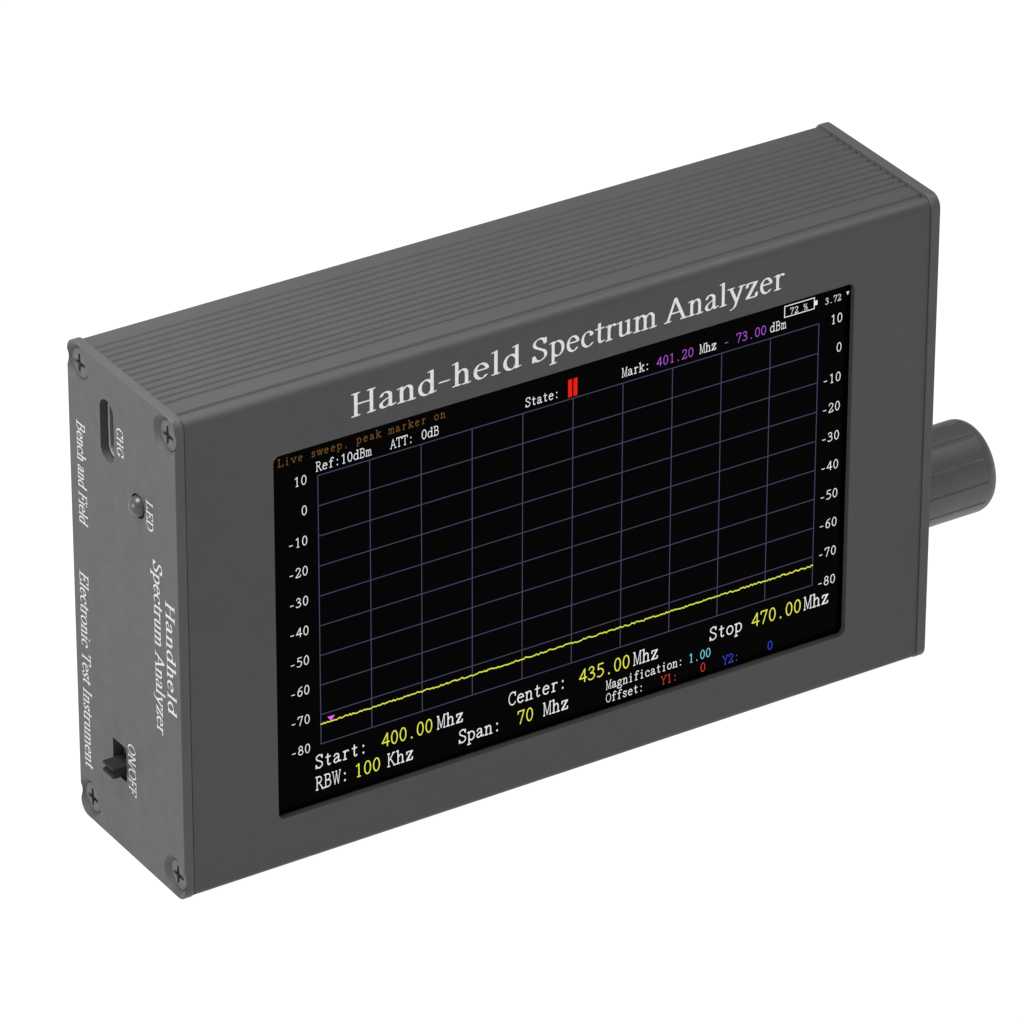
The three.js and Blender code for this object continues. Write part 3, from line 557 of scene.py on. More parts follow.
def left_plate():
    plate = plate_blank("left_plate", LEFT_LOW, LEFT_HIGH)
    sinks = [countersink(-1, middle(node)) for node in SCREW_NODES[:4]]
    openings = [eased_hole(LEFT_FACE, outline, PORT["edge"]) for outline in (port_outline, lamp_outline)]
    openings.append(eased_hole(LEFT_FACE, switch_outline, SWITCH["edge"]))
    combine(plate, sinks + openings)
    dress(plate, "left_end_plate", "plate_anodised")


def right_plate():
    plate = plate_blank("right_plate", RIGHT_LOW, RIGHT_HIGH)
    sinks = [countersink(1, middle(node)) for node in SCREW_NODES[4:]]
    through = (RIGHT_LOW.x - PAST, RIGHT_FACE + PAST)
    holes = [rod("hole", radius, through, middle(node)) for node, radius in PLATE_HOLES.items()]
    combine(plate, sinks + holes)
    dress(plate, "right_end_plate", "plate_anodised")


def cross_tool(sign, face, centre):
    """A tapered cross that cuts a screwdriver recess into a head."""
    rings = []
    for depth, scale in ((PAST, 1.0), (0.0, 1.0), (-CROSS["depth"], 0.45)):
        reach, half = CROSS["reach"] * scale, CROSS["half_width"] * (0.5 + 0.5 * scale)
        inner = CROSS["waist"] * (0.5 + 0.5 * scale)
        outline = []
        for quadrant in range(4):
            a = math.pi / 2 * quadrant
            for u, v in ((reach, -half), (reach, half), (inner, inner)):
                turned = (u * math.cos(a) - v * math.sin(a), u * math.sin(a) + v * math.cos(a))
                outline.append((centre.y + turned[0], centre.z + turned[1]))
        rings.append(along_x(outline, face + sign * depth))
    return loft("cross", rings)


def plate_screw(node):
    """A countersunk screw with a crowned head, a cross recess and a turned thread."""
    low, high = box(node)
    sign = -1 if node.startswith("left") else 1
    face = low.x if sign < 0 else high.x
    length = high.x - low.x
    head, shank = SCREW["head"], SCREW["shank"]
    profile = [(0, 0), (head * 0.55, -0.02)] + [(head - inset, -down) for inset, down in CROWN]
    depth = CROWN[-1][1] + head - shank
    profile.append((shank, -depth))
    while depth + THREAD["pitch"] < length - THREAD["end"] - 0.2:
        profile.append((shank, -depth - THREAD["pitch"] * 0.3))
        profile.append((shank - THREAD["depth"], -depth - THREAD["pitch"] * 0.6))
        depth += THREAD["pitch"]
        profile.append((shank, -depth))
    profile += [(shank - THREAD["taper"], THREAD["end"] - length), (shank / 2, -length), (0, -length)]
    screw = lathe(f"{node}_turned", [(r, face + sign * out) for r, out in profile], middle(node), 40)
    combine(screw, [cross_tool(sign, face, middle(node))])
    dress(screw, node, "screw_metal")


# ---- left end: port, lamp and switch


def port_shell():
    low, high = box("charging_port_shell")
    wall, lip, flare = PORT["wall"], PORT_SHELL["lip"], PORT_SHELL["flare"]
    radius = (high.y - low.y) / 2 - LEAST

    def ring(grow, x):
        return along_x(rounded_box((low.y, high.y), (low.z, high.z), radius, grow, ROUND_STEPS), x)

    shell = loft("port_shell", [
        ring(-lip, low.x), ring(0, low.x + lip), ring(0, high.x - PORT_SHELL["taper_length"]),
        ring(-PORT_SHELL["taper"], high.x),
    ])
    inside = loft("port_room", [
        ring(flare - wall, low.x - PAST), ring(flare - wall, low.x), ring(-wall, low.x + flare),
        ring(-wall, high.x - wall),
    ])
    combine(shell, [inside])
    dress(shell, "charging_port_shell", "port_metal")


def port_tongue():
    low, high = box("charging_port_tongue")
    rings = []
    for x, inset in ((low.x, TONGUE["edge"]), (low.x + TONGUE["edge"], 0), (high.x, 0)):
        outline = rounded_box((low.y, high.y), (low.z, high.z), TONGUE["corner"], -inset, 3)
        rings.append(along_x(outline, x))
    tongue = loft("port_tongue", rings)
    dress(tongue, "charging_port_tongue", "switch_plastic")


def lamp():
    low, high = box("status_lamp")
    centre = middle("status_lamp")
    radius, foot = LAMP["radius"], high.x - LAMP["flange_thickness"]
    arc = [math.pi / 2 * i / 12 for i in range(13)]
    profile = [(radius * math.sin(a), low.x + radius * (1 - math.cos(a))) for a in arc]
    profile += [(radius, foot - 0.1), (radius + 0.1, foot), (LAMP["flange"] - 0.08, foot),
                (LAMP["flange"], foot + 0.08), (LAMP["flange"], high.x), (0, high.x)]
    dress(lathe("lamp_lens", profile, centre), "status_lamp", "lamp_resin")


def switch_knob():
    """A slider with a finger notch across its tip, which leaves two ridges."""
    low, high = box("power_switch_knob")
    x, z = high.x, (low.z + high.z) / 2
    edge, ridge, ridge_edge, foot_edge = (SLIDER[k] for k in ("edge", "ridge", "ridge_edge", "foot_edge"))
    profile = rounded([
        (low.x, low.z, edge), (low.x, low.z + ridge, ridge_edge), (low.x + SLIDER["notch"], z, edge),
        (low.x, high.z - ridge, ridge_edge), (low.x, high.z, edge),
        (x, high.z, foot_edge), (x, low.z, foot_edge),
    ], 3)
    rings = []
    narrowed = SLIDER["narrowed"]
    for y, scale in ((low.y, narrowed), (low.y + 0.1, 1.0), (high.y - 0.1, 1.0), (high.y, narrowed)):
        rings.append([(x + (u - x) * scale, y, z + (v - z) * scale) for u, v in profile])
    knob = loft("switch_slider", rings)
    dress(knob, "power_switch_knob", "switch_plastic")


# ---- right end: knob, nuts and RF input


def knob_radius(radius, angle, from_end):
    """The knob's radius at an angle, with a groove wherever one crosses it."""
    stop = KNOB_GROOVE["stop"]
    cutter = KNOB_GROOVE["radius"]
    if from_end < stop:
        cutter = math.sqrt(max(cutter ** 2 - (stop - from_end) ** 2, 0))
    centre = KNOB["radius"] + KNOB_GROOVE["radius"] - KNOB_GROOVE["depth"]
    step = 2 * math.pi / KNOB_GROOVE["count"]
    offset = (angle - math.radians(KNOB_GROOVE["turned"]) + step / 2) % step - step / 2
    reach = cutter ** 2 - (centre * math.sin(offset)) ** 2
    if reach <= 0:
        return radius
    return min(radius, centre * math.cos(offset) - math.sqrt(reach))


def knob_turns():
    """Angles round the knob, closer together across each groove."""
    step = 2 * math.pi / KNOB_GROOVE["count"]
    half = KNOB_GROOVE["span"] / KNOB["radius"]
    turned = math.radians(KNOB_GROOVE["turned"])
    across = [turned + half * (i / 7 - 1) for i in range(15)]
    between = [turned + half + (step - 2 * half) * i / 7 for i in range(1, 7)]
    return [k * step + a for k in range(KNOB_GROOVE["count"]) for a in across + between]


def control_knob():
    low, high = box("control_knob")
    centre = middle("control_knob")
    radius, rounding = KNOB["radius"], KNOB["rounding"]
    stations = [(low.x + along, radius - inset) for along, inset in KNOB_SKIRT]
    start, stop = stations[-1][0], high.x - KNOB_GROOVE["stop"]
    stations += [(start + (stop - start) * i / 6, radius) for i in range(1, 7)]
    shoulder = high.x - rounding
    stations += [(stop + (shoulder - stop) * i / 3, radius) for i in range(1, 3)]
    for i in range(13):
        a = math.pi / 2 * i / 12
        stations.append((shoulder + rounding * math.sin(a), radius - rounding * (1 - math.cos(a))))
    dish = high.x - KNOB["dish"]
    stations += [(high.x - 0.04, radius - rounding - 0.5), (dish, 2.2), (dish, 0.8)]
    rings = []
    for x, r in stations:
        ring = []
        for angle in knob_turns():
            local = knob_radius(r, angle, high.x - x)
            ring.append((x, centre.y + local * math.cos(angle), centre.z + local * math.sin(angle)))
        rings.append(ring)
    knob = loft("tuning_knob_moulding", rings)
    shaft_end, recess_end = box("encoder_shaft")[1].x, low.x + KNOB["recess_depth"]
    recess = rod("recess", KNOB["recess"], (low.x - PAST, recess_end), centre, 48)
    bore = rod("bore", SHAFT_HOLE["radius"], (low.x, shaft_end + SHAFT_HOLE["past_shaft"]), centre, 48)
    size = SHAFT_HOLE["flat_size"]
    flat = block("flat", (recess_end + SHAFT_HOLE["flat_start"], high.x), (centre.y - size, centre.y + size),
                 (centre.z + SHAFT_HOLE["flat_height"], centre.z + size))
    combine(knob, [recess, combine(bore, [flat])])
    dress(knob, "control_knob", "knob_plastic")


def hex_nut(node, bore, slot):
    """A hexagon nut with its corners turned down and its hole widened at both ends."""
    low, high = box(node)
    centre = middle(node)
    across = min(high.y - low.y, high.z - low.z)
    corner = across / math.sqrt(3)
    turns = [math.pi / 3 * i + (0 if high.z - low.z < high.y - low.y else math.pi / 6) for i in range(6)]
    hexagon = [(centre.y + corner * math.cos(a), centre.z + corner * math.sin(a)) for a in turns]
    nut = loft(f"{node}_turned", [along_x(hexagon, x) for x in (low.x, high.x)])
    bevel = (corner - across / 2) * NUT["bevel"]
    envelope = lathe("envelope", [
        (0, low.x), (across / 2, low.x), (corner + 0.05, low.x + bevel),
        (corner + 0.05, high.x - bevel), (across / 2, high.x), (0, high.x),
    ], centre)
    combine(nut, [envelope], "INTERSECT")
    hole = lathe("hole", [
        (0, low.x - PAST), (bore + NUT["inner_flare"] + PAST, low.x - PAST), (bore, low.x + NUT["lead_in"]),
        (bore, high.x - NUT["lead_in"]), (bore + NUT["outer_flare"] + PAST, high.x + PAST),
        (0, high.x + PAST),
    ], centre, 48)
    combine(nut, [hole])
    dress(nut, node, slot)


def washer(node, bore, slot):
    low, high = box(node)
    centre = middle(node)
    radius = (high.z - low.z) / 2
    body = lathe(f"{node}_pressed", [
        (0, low.x), (radius - 0.05, low.x), (radius, low.x + 0.06), (radius, high.x - 0.1),
        (radius - 0.1, high.x), (0, high.x),
    ], centre)
    combine(body, [rod("hole", bore, (low.x - PAST, high.x + PAST), centre)])
    dress(body, node, slot)


def thread(radius, start, end, pitch=0.5, depth=0.18):
    """Profile points of a threaded stretch, as turned rings."""
    count = int((end - start) / pitch)
    step = (end - start) / count
    points = []
    for i in range(count):
        at = start + i * step
        points += [(radius, at + step * 0.1), (radius - depth, at + step * 0.45),
                   (radius - depth, at + step * 0.6), (radius, at + step * 0.95)]
    return points


def encoder_bushing():
    low, high = box("encoder_bushing")
    centre = middle("encoder_bushing")
    radius = (high.z - low.z) / 2
    profile = [(0, low.x), (radius, low.x), *thread(radius, low.x + 0.2, high.x - 0.4),
               (radius, high.x - 0.3), (radius - 0.3, high.x), (0, high.x)]
    body = lathe("encoder_bushing_turned", profile, centre)
    combine(body, [rod("bore", 3.04, (low.x - PAST, high.x + PAST), centre, 48)])
    dress(body, "encoder_bushing", "zinc")


def rf_shell():
    """The RF input's square block and prongs, and its threaded barrel with the socket in its mouth."""
    low, high = box("rf_input_shell")
    centre = middle("rf_input_nut")
    size, prong, barrel = RF["block"], RF["prong"], RF["barrel"]
    block_end = RIGHT_LOW.x - RF["block_gap"]
    block_start = block_end - RF["block_depth"]
    body = block("rf_barrel_and_block", (block_start, block_end), (centre.y - size / 2, centre.y + size / 2),
                 (centre.z - size / 2, centre.z + size / 2))
    profile = [(0, block_end - PAST), (barrel, block_end - PAST), (barrel, RIGHT_FACE),
               *thread(barrel, RIGHT_FACE + 0.2, high.x - 0.6, 0.7, 0.25),
               (barrel, high.x - 0.4), (RF["mouth"], high.x), (0, high.x)]
    parts = [lathe("barrel", profile, centre)]
    board = box("main_board")[0].y
    for step in (-1, 1):
        z = centre.z + step * (size - prong) / 2
        parts.append(block("prong", (low.x, block_start + PAST), (board - prong, board),
                           (z - prong / 2, z + prong / 2)))
    combine(body, parts, "UNION")
    insulator_low = box("rf_input_insulator")[0]
    combine(body, [
        rod("socket", RF["socket"], (high.x - RF["socket_depth"], high.x + PAST), centre, 48),
        rod("seat", RF["seat"], (insulator_low.x, high.x), centre, 48),
    ])
    dress(body, "rf_input_shell", "rf_gold")


# ---- letters


def arc(cx, cy, rx, ry, start, end, steps=12):
    """Part of an ellipse, from one angle in degrees to another."""
    angles = [math.radians(start + (end - start) * i / steps) for i in range(steps + 1)]
    return [(cx + rx * math.cos(a), cy + ry * math.sin(a)) for a in angles]


def smooth(*points):
    """A smooth curve through the points."""
    ends = [points[0], *points, points[-1]]
    path = []
    for a, b, c, d in zip(ends, ends[1:], ends[2:], ends[3:]):
        for i in range(4):
            t = i / 4
            path.append(tuple(
                0.5 * (2 * b[k] + (c[k] - a[k]) * t + (2 * a[k] - 5 * b[k] + 4 * c[k] - d[k]) * t * t
                       + (3 * b[k] - a[k] - 3 * c[k] + d[k]) * t ** 3) for k in (0, 1)))
    return path + [points[-1]]


def stem(x, top=100, bottom=0):
    return [(x, bottom), (x, top)]


def foot(x, y=0, half=11.5):
    """A serif across the end of a stem."""
    return [(x - half, y), (x + half, y)]


def flag(x, y):
    """A serif to the left of the top of a stem."""
    return [(x - 12, y - 3.5), (x, y)]


def dot(x, y):
    return arc(x, y, 2.2, 4, 0, 360, 6)


def arch(x, far):
    """The curve of an n or an h, from its stem over to its far leg."""
    return smooth((x, 46), (x + 12, 62), (x + 24, 66.5), (far - 3, 58), (far, 42), (far, 0))


X_TOP = 66.5  # height of a small letter, in hundredths of a capital's height
ASCENT = 103

# A letter is its width and its pen strokes, in hundredths of a capital's height.
LETTERS = {
    "A": (106, [[(13, 0), (50, 100)], [(50, 100), (92, 0)], [(27, 34), (74, 34)], foot(13), foot(92, 0, 13)]),
    "B": (98, [stem(24), [(10, 100), (50, 100)], arc(50, 77, 24, 23, 90, -90), [(24, 54), (50, 54)],
        arc(52, 27, 30, 27, 90, -90), [(10, 0), (52, 0)]]),
    "C": (98, [arc(55, 50, 41, 50, 42, 322, 20), stem(87, 98, 70)]),
    "D": (106, [stem(24), [(10, 100), (46, 100)], arc(46, 50, 48, 50, 90, -90, 18), [(10, 0), (46, 0)]]),
    "E": (90, [stem(24), [(10, 100), (76, 100), (78, 82)], [(24, 52), (58, 52)], stem(58, 62, 42),
        [(10, 0), (78, 0), (83, 20)]]),
    "F": (83, [stem(24), [(10, 100), (74, 100), (76, 82)], [(24, 50), (58, 50)], stem(58, 60, 40), foot(24)]),
    "G": (106, [arc(55, 50, 41, 50, 42, 330, 20), stem(87, 98, 70), stem(89, 40, 8), foot(89, 40)]),
    "H": (106, [stem(24), stem(84), [(24, 52), (84, 52)], foot(24), foot(24, 100), foot(84), foot(84, 100)]),
    "I": (50, [stem(25), foot(25), foot(25, 100)]),
    "K": (106, [stem(24), [(82, 100), (26, 44)], [(42, 60), (90, 0)], foot(24), foot(24, 100), foot(82, 100),
        foot(92)]),
    "L": (90, [stem(24), [(10, 0), (76, 0), (82, 24)], foot(24, 100)]),
    "M": (130, [stem(20), [(24, 100), (64, 4)], [(64, 4), (106, 100)], stem(109), foot(20), foot(109),
        foot(17, 100), foot(112, 100)]),
    "N": (106, [stem(22), [(24, 100), (86, 0)], stem(86), foot(22), foot(18, 100), foot(86, 100)]),
    "O": (106, [arc(53, 50, 43, 50, 0, 360, 28)]),
    "R": (100, [stem(24), [(10, 100), (50, 100)], arc(50, 76.5, 25, 23.5, 90, -90), [(24, 53), (50, 53)],
        [(48, 53), (88, 0)], foot(24), foot(92)]),
    "S": (82, [
        smooth((66, 76), (58, 95), (38, 100), (17, 88), (18, 68), (42, 53), (65, 38), (68, 17),
            (50, 2), (26, 2), (13, 24)), stem(67, 98, 76), [(12, 24), (12, 0)]]),
    "T": (90, [stem(45), [(7, 80), (9, 100), (81, 100), (83, 80)], foot(45)]),
    "W": (142, [[(12, 100), (46, 0)], [(46, 0), (75, 90)], [(70, 100), (102, 0)], [(102, 0), (132, 100)],
        foot(12, 100), foot(68, 100), foot(132, 100, 9)]),
    "Y": (106, [[(15, 100), (55, 46)], [(55, 46), (94, 100)], [(55, 46), (55, 0)], foot(15, 100),
        foot(94, 100), foot(55)]),
    "a": (67, [smooth((12, 52), (18, 64), (32, 67), (45, 58), (47, 40), (47, 10), (54, 1), (64, 6)),
        smooth((47, 42), (27, 34), (11, 20), (14, 4), (27, 0), (40, 7), (47, 16))]),
    "c": (67, [arc(36, 33, 26, 33.5, 45, 318, 16), dot(53, 52)]),
    "d": (76, [arc(34, 33, 24, 33.5, 30, 330, 18), [(57, ASCENT), (57, 2)], flag(57, ASCENT),
        [(57, 2), (69, 5)]]),
    "e": (67, [[(13, 39), (57, 39)], arc(35, 33, 24, 33.5, 12, 318, 18)]),
    "f": (50, [smooth((22, 0), (22, 50), (22, 82), (30, 100), (44, 102), (52, 92)), [(7, 65), (42, 65)],
        foot(22)]),
    "g": (76, [arc(34, 44, 21, 22, 0, 360, 16), [(48, 60), (68, 62)],
        smooth((24, 24), (13, 15), (20, 6), (45, 3), (63, -8), (56, -25), (30, -31), (9, -22),
            (13, -7), (26, 4))]),
    "h": (76, [stem(19, ASCENT), arch(19, 57), flag(19, ASCENT), foot(19), foot(57)]),
    "i": (42, [stem(21, X_TOP), flag(21, X_TOP), foot(21), dot(20, 93)]),
    "k": (76, [stem(19, ASCENT), [(58, X_TOP), (21, 28)], [(32, 40), (62, 0)], flag(19, ASCENT), foot(19),
        foot(64), foot(58, X_TOP)]),
    "l": (42, [stem(21, ASCENT), flag(21, ASCENT), foot(21)]),
    "m": (116, [stem(19, X_TOP), arch(19, 58), arch(58, 97), flag(19, X_TOP), foot(19), foot(58), foot(97)]),
    "n": (76, [stem(19, X_TOP), arch(19, 57), flag(19, X_TOP), foot(19), foot(57)]),
    "o": (76, [arc(38, 33, 27, 33.5, 0, 360, 20)]),
    "p": (76, [stem(19, X_TOP, -31), arc(40, 33, 26, 33.5, 140, -140, 18), flag(19, X_TOP), foot(19, -31)]),
    "r": (52, [stem(19, X_TOP), smooth((19, 46), (29, 62), (40, 66), (48, 60)), flag(19, X_TOP), foot(19)]),
    "s": (60, [smooth((46, 52), (38, 65), (20, 64), (13, 50), (28, 36), (46, 22), (42, 4), (22, 0), (11, 16)),
        stem(47, 66, 50)]),
    "t": (44, [smooth((20, 88), (20, 50), (20, 14), (28, 1), (40, 7)), [(5, 65), (39, 65)]]),
    "u": (76, [smooth((19, X_TOP), (19, 30), (20, 8), (33, 0), (48, 6), (56, 18)), [(57, X_TOP), (57, 2)],
        flag(19, X_TOP), flag(57, X_TOP), [(57, 2), (69, 5)]]),
    "v": (76, [[(12, X_TOP), (40, 0)], [(40, 0), (65, X_TOP)], foot(12, X_TOP), foot(65, X_TOP)]),
    "w": (108, [[(12, X_TOP), (36, 0)], [(36, 0), (56, 58)], [(52, X_TOP), (76, 0)], [(76, 0), (98, X_TOP)],
        foot(12, X_TOP), foot(50, X_TOP), foot(98, X_TOP, 8)]),
    "y": (76, [[(12, X_TOP), (40, 2)], smooth((66, X_TOP), (41, 2), (30, -22), (14, -30)), foot(12, X_TOP),
        foot(66, X_TOP)]),
    "z": (67, [[(12, 50), (13, X_TOP), (56, X_TOP)], [(52, X_TOP), (10, 0)], [(58, X_TOP), (16, 0)],
        [(10, 0), (56, 0), (58, 17)]]),
    "0": (76, [arc(38, 50, 25, 50, 0, 360, 24)]),
    "1": (76, [stem(40), [(20, 86), (40, 100)], foot(40)]),
    "2": (76, [smooth((13, 76), (20, 95), (38, 100), (58, 88), (56, 62), (34, 30), (10, 0)),
        [(10, 0), (60, 0), (65, 20)]]),
    "3": (76, [
        smooth((14, 82), (24, 97), (42, 98), (55, 82), (48, 62), (28, 53), (52, 46), (62, 26),
            (48, 4), (24, 0), (10, 10))]),
    "4": (76, [stem(52), [(52, 100), (7, 30)], [(7, 30), (69, 30)]]),
    "5": (76, [[(62, 100), (22, 100), (18, 60)],
        smooth((18, 60), (40, 62), (61, 46), (60, 18), (38, 0), (12, 6))]),
    "6": (76, [arc(38, 30, 24, 30, 0, 360, 20), smooth((15, 30), (18, 60), (36, 88), (62, 100))]),
    "7": (76, [[(10, 82), (13, 100), (66, 100)], [(64, 100), (30, 0)]]),
    "8": (76, [arc(38, 76, 20, 24, 0, 360, 18), arc(38, 26, 25, 26, 0, 360, 18)]),
    "%": (120, [arc(28, 78, 16, 22, 0, 360, 14), arc(92, 22, 16, 22, 0, 360, 14), [(92, 100), (28, 0)]]),
    ".": (36, [dot(18, 2)]),
    ",": (36, [dot(18, 4), [(20, 2), (12, -14)]]),
    ":": (40, [dot(20, 6), dot(20, 60)]),
    "-": (50, [[(8, 36), (42, 36)]]),
    "/": (44, [[(2, -2), (42, 100)]]),
    " ": (40, []),
}


def pen_nib(half_width, half_height, lean, sides=10):
    """The outline of a pen's tip, an ellipse that leans by some degrees."""
    turn = math.radians(lean)
    outline = []
    for i in range(sides):
        a = 2 * math.pi * i / sides
        tip = Vector((half_width * math.cos(a), half_height * math.sin(a)))
        tip.rotate(Matrix.Rotation(turn, 2))
        outline.append(tip)
    return outline


BROAD_PEN = pen_nib(0.07, 0.022, 18)
NARROW_PEN = pen_nib(0.069, 0.022, 18)
FINE_PEN = pen_nib(0.05, 0.05, 0, 8)


def swept(stroke, nib):
    """The areas that a pen's tip covers along each stretch of a stroke."""
    areas = []
    for a, b in zip(stroke, stroke[1:]):
        spots = [Vector(end) + corner for end in (a, b) for corner in nib]
        areas.append([spots[i] for i in convex_hull_2d(spots)])
    return areas


def union(areas):
    """Overlapping areas as one flat mesh."""
    points, faces = [], []
    for area in areas:
        faces.append(list(range(len(points), len(points) + len(area))))
        points += area
    points, _, triangles, _, _, owners = delaunay_2d_cdt(points, [], faces, 0, 1e-6, True)
    return points, [face for face, owner in zip(triangles, owners) if owner]


DRAWN = {}
TIGHTEST, LOOSEST = -0.01, 0.05  # space between two letters, in heights of a capital


def width_of(character):
    """A letter's width, in heights of a capital."""
    return LETTERS[character][0] / 100


def letter(character, nib):
    """A letter's flat mesh, in heights of a capital, drawn once for each pen."""
    key = (character, id(nib))
    if key not in DRAWN:
        strokes = [[(x / 100, y / 100) for x, y in stroke] for stroke in LETTERS[character][1]]
        areas = [area for stroke in strokes for area in swept(stroke, nib)]
        DRAWN[key] = union(areas) if areas else ([], [])
    return DRAWN[key]


def written(text, start, end, baseline, height, nib):
    """Proportional lettering, made wider or narrower to fill the way from start to end. Gives flat meshes."""
    natural = sum(width_of(c) for c in text)
    room = (end - start) / height
    gap = min(max((room - natural) / (len(text) - 1), TIGHTEST), LOOSEST)
    width = (room - gap * (len(text) - 1)) / natural * height
    sheets, at = [], start
    for c in text:
        points, faces = letter(c, nib)
        sheets.append(([(at + p.x * width, baseline + p.y * height) for p in points], faces))
        at += width_of(c) * width + gap * height
    return sheets


def typed(text, start, end, baseline, height, nib):
    """Fixed-pitch lettering, as a display shows it: every letter in a cell of the same width."""
    pitch = (end - start) / len(text)
    sheets = []
    for i, c in enumerate(text):
        squeeze = min(1.0, pitch / (width_of(c) * height)) * height
        left = start + (i + 0.5) * pitch - squeeze * width_of(c) / 2
        points, faces = letter(c, nib)
        sheets.append(([(left + p.x * squeeze, baseline + p.y * height) for p in points], faces))
    return sheets


def raised(name, sheets, place, body, finish):
    """Makes flat meshes into thin closed solids; place(u, v, out) says where a point goes in space."""
    shape = bmesh.new()
    for points, faces in sheets:
        corners = [shape.verts.new((u, v, 0)) for u, v in points]
        for face in faces:
            shape.faces.new([corners[i] for i in face])
    bmesh.ops.dissolve_limit(shape, angle_limit=0.02, verts=shape.verts, edges=shape.edges)
    grown = bmesh.ops.extrude_face_region(shape, geom=list(shape.faces))
    for item in grown["geom"]:
        if isinstance(item, bmesh.types.BMVert):
            item.co.z = 1
    for vertex in shape.verts:
        vertex.co = Vector(place(*vertex.co)) * MM
    bmesh.ops.recalc_face_normals(shape, faces=shape.faces)
    mesh = bpy.data.meshes.new(name)
    shape.to_mesh(mesh)
    shape.free()
    mesh.materials.append(finish)
    piece = placed(name, mesh)
    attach(piece, body)


INK = 0.02  # thickness of the printed lettering


def on_front(u, v, out):
    return (u, TUBE_LOW.y - out * INK, v)


def on_left(u, v, out):
    """Lettering that reads downwards, with the letters' tops towards the front edge."""
    return (LEFT_FACE - out * INK, LEFT_LOW.y - v, LEFT_HIGH.z - u)


# Printed on the left plate: words, where they start and end below its top, their baseline's and their
# capitals' distance from its front edge.
LEFT_PRINT = [
    ("port", "CHG", 7.8, 12.3, 15.84, 14.16),
    ("lamp", "LED", 15.4, 20.1, 8.15, 6.48),
    ("switch", "ON/OFF", 57.3, 65.5, 15.08, 13.15),
    ("upper_name", "Handheld", 28.75, 46.7, 3.51, 1.22),
    ("lower_name", "Spectrum Analyzer", 23.95, 51.2, 6.68, 4.35),
    ("back_upper", "Bench and Field", 11.9, 28.1, 27.06, 24.83),
    ("back_lower", "Electronic Test Instrument", 35.8, 67.5, 27.52, 25.18),
]
# Printed on the front: words and where they start and end.
TITLE = [("Hand-held", -42.85, -15.35), ("Spectrum", -13.81, 6.82), ("Analyzer", 8.14, 28.05)]
TITLE_BASELINE, TITLE_HEIGHT = 68.53, 3.42


def printed_lettering():
    title = []
    for text, start, end in TITLE:
        title += written(text, start, end, TITLE_BASELINE, TITLE_HEIGHT, BROAD_PEN)
    raised("title_lettering", title, on_front, "case", FINISHES["lettering"])
    for name, text, start, end, baseline, top in LEFT_PRINT:
        sheets = written(text, start, end, -baseline, baseline - top, NARROW_PEN)
        raised(f"{name}_lettering", sheets, on_left, "case", FINISHES["worn_lettering"])


# ---- what the screen shows

DOT_X, DOT_Z = 0.1175, 0.1205
SCREEN_LEFT = LEFT_FACE + 15.78
SCREEN_TOP = 66.4
PICTURE = 0.01  # how far the picture's layers stand in front of the glass

SCREEN_COLOURS = {
    "grid": srgb(74, 70, 102),
    "white": srgb(236, 236, 238),
    "yellow": srgb(228, 234, 84),
    "purple": srgb(164, 82, 200),
    "pink": srgb(238, 104, 238),
    "brown": srgb(116, 80, 44),
    "red": srgb(232, 34, 26),
    "brick": srgb(208, 58, 40),
    "cyan": srgb(128, 216, 224),
    "blue": srgb(56, 72, 214),
}

SMALL, LARGE, TINY = 11.5, 17, 8

# Words on the screen, line by line: the baseline and the height of a capital, then each word, its start and
# its end in dots, and its colour.
SCREEN_LINES = [
    (24, 9.6, [("Live sweep, peak marker on", 6, 234, "brown")]),
    (44, SMALL, [("Ref:10dBm", 57, 133, "white"), ("ATT:", 158, 190, "white"), ("0dB", 200, 225, "white")]),
    (43, SMALL, [("State:", 343, 391, "white")]),
    (42, SMALL, [("Mark:", 478, 518, "white"), ("401.20", 526.5, 580, "purple"),
        ("Mhz", 588, 612.5, "white"), ("- 73.00", 622, 684, "purple"), ("dBm", 688.5, 712.5, "white")]),
    (26, TINY, [("72 %", 717, 743, "white")]),
    (27, TINY, [("3.72", 768, 792, "white")]),
    (434, LARGE, [("Start:", 51, 124, "white"), ("400.00", 143, 215, "yellow"), ("Mhz", 220, 258, "white"),
        ("Center:", 320, 404, "white"), ("435.00", 421, 495, "yellow"), ("Mhz", 499, 536, "white"),
        ("Stop", 609, 658, "white"), ("470.00", 671, 745, "yellow"), ("Mhz", 748, 786, "white")]),
    (463, LARGE, [("RBW:", 51, 98, "white"), ("100", 105, 142, "yellow"), ("Khz", 150, 188, "white"),
        ("Span:", 250, 311, "white"), ("70", 333, 357, "yellow"), ("Mhz", 370, 407, "white")]),
    (455, SMALL, [("Magnification:", 460, 572, "white"), ("1.00", 579, 612, "cyan")]),
    (473, SMALL, [("Offset:", 460, 515, "white"), ("Y1:", 539, 564, "brick"), ("0", 596, 605, "brick"),
        ("Y2:", 629, 654, "blue"), ("0", 694, 704, "blue")]),
]

GRID = {"left": 60, "right": 760, "top": 50, "bottom": 403, "columns": 10, "rows": 9, "line": 1.1}
SCALE = {"first": 10, "step": -10, "letter": 9.3, "left_end": 46, "right_end": 795}
TRACE = {"level": 376, "jitter": 1.1, "step": 2, "width": 1.6, "seed": 7}
STATE_BARS = [(402.5, 408, 24, 47), (410, 415.5, 24, 47)]
BATTERY = {"left": 709, "right": 753, "top": 13, "bottom": 28.5, "line": 1.2, "nub": (753, 757, 18, 24)}
MARKER = [(69, 369.5), (79, 369.5), (74, 376)]
FALLING = [(799, 18.5), (803, 18.5), (801, 23.5)]


def patch(left, right, top, bottom):
    return [Vector(p) for p in ((left, -bottom), (right, -bottom), (right, -top), (left, -top))]


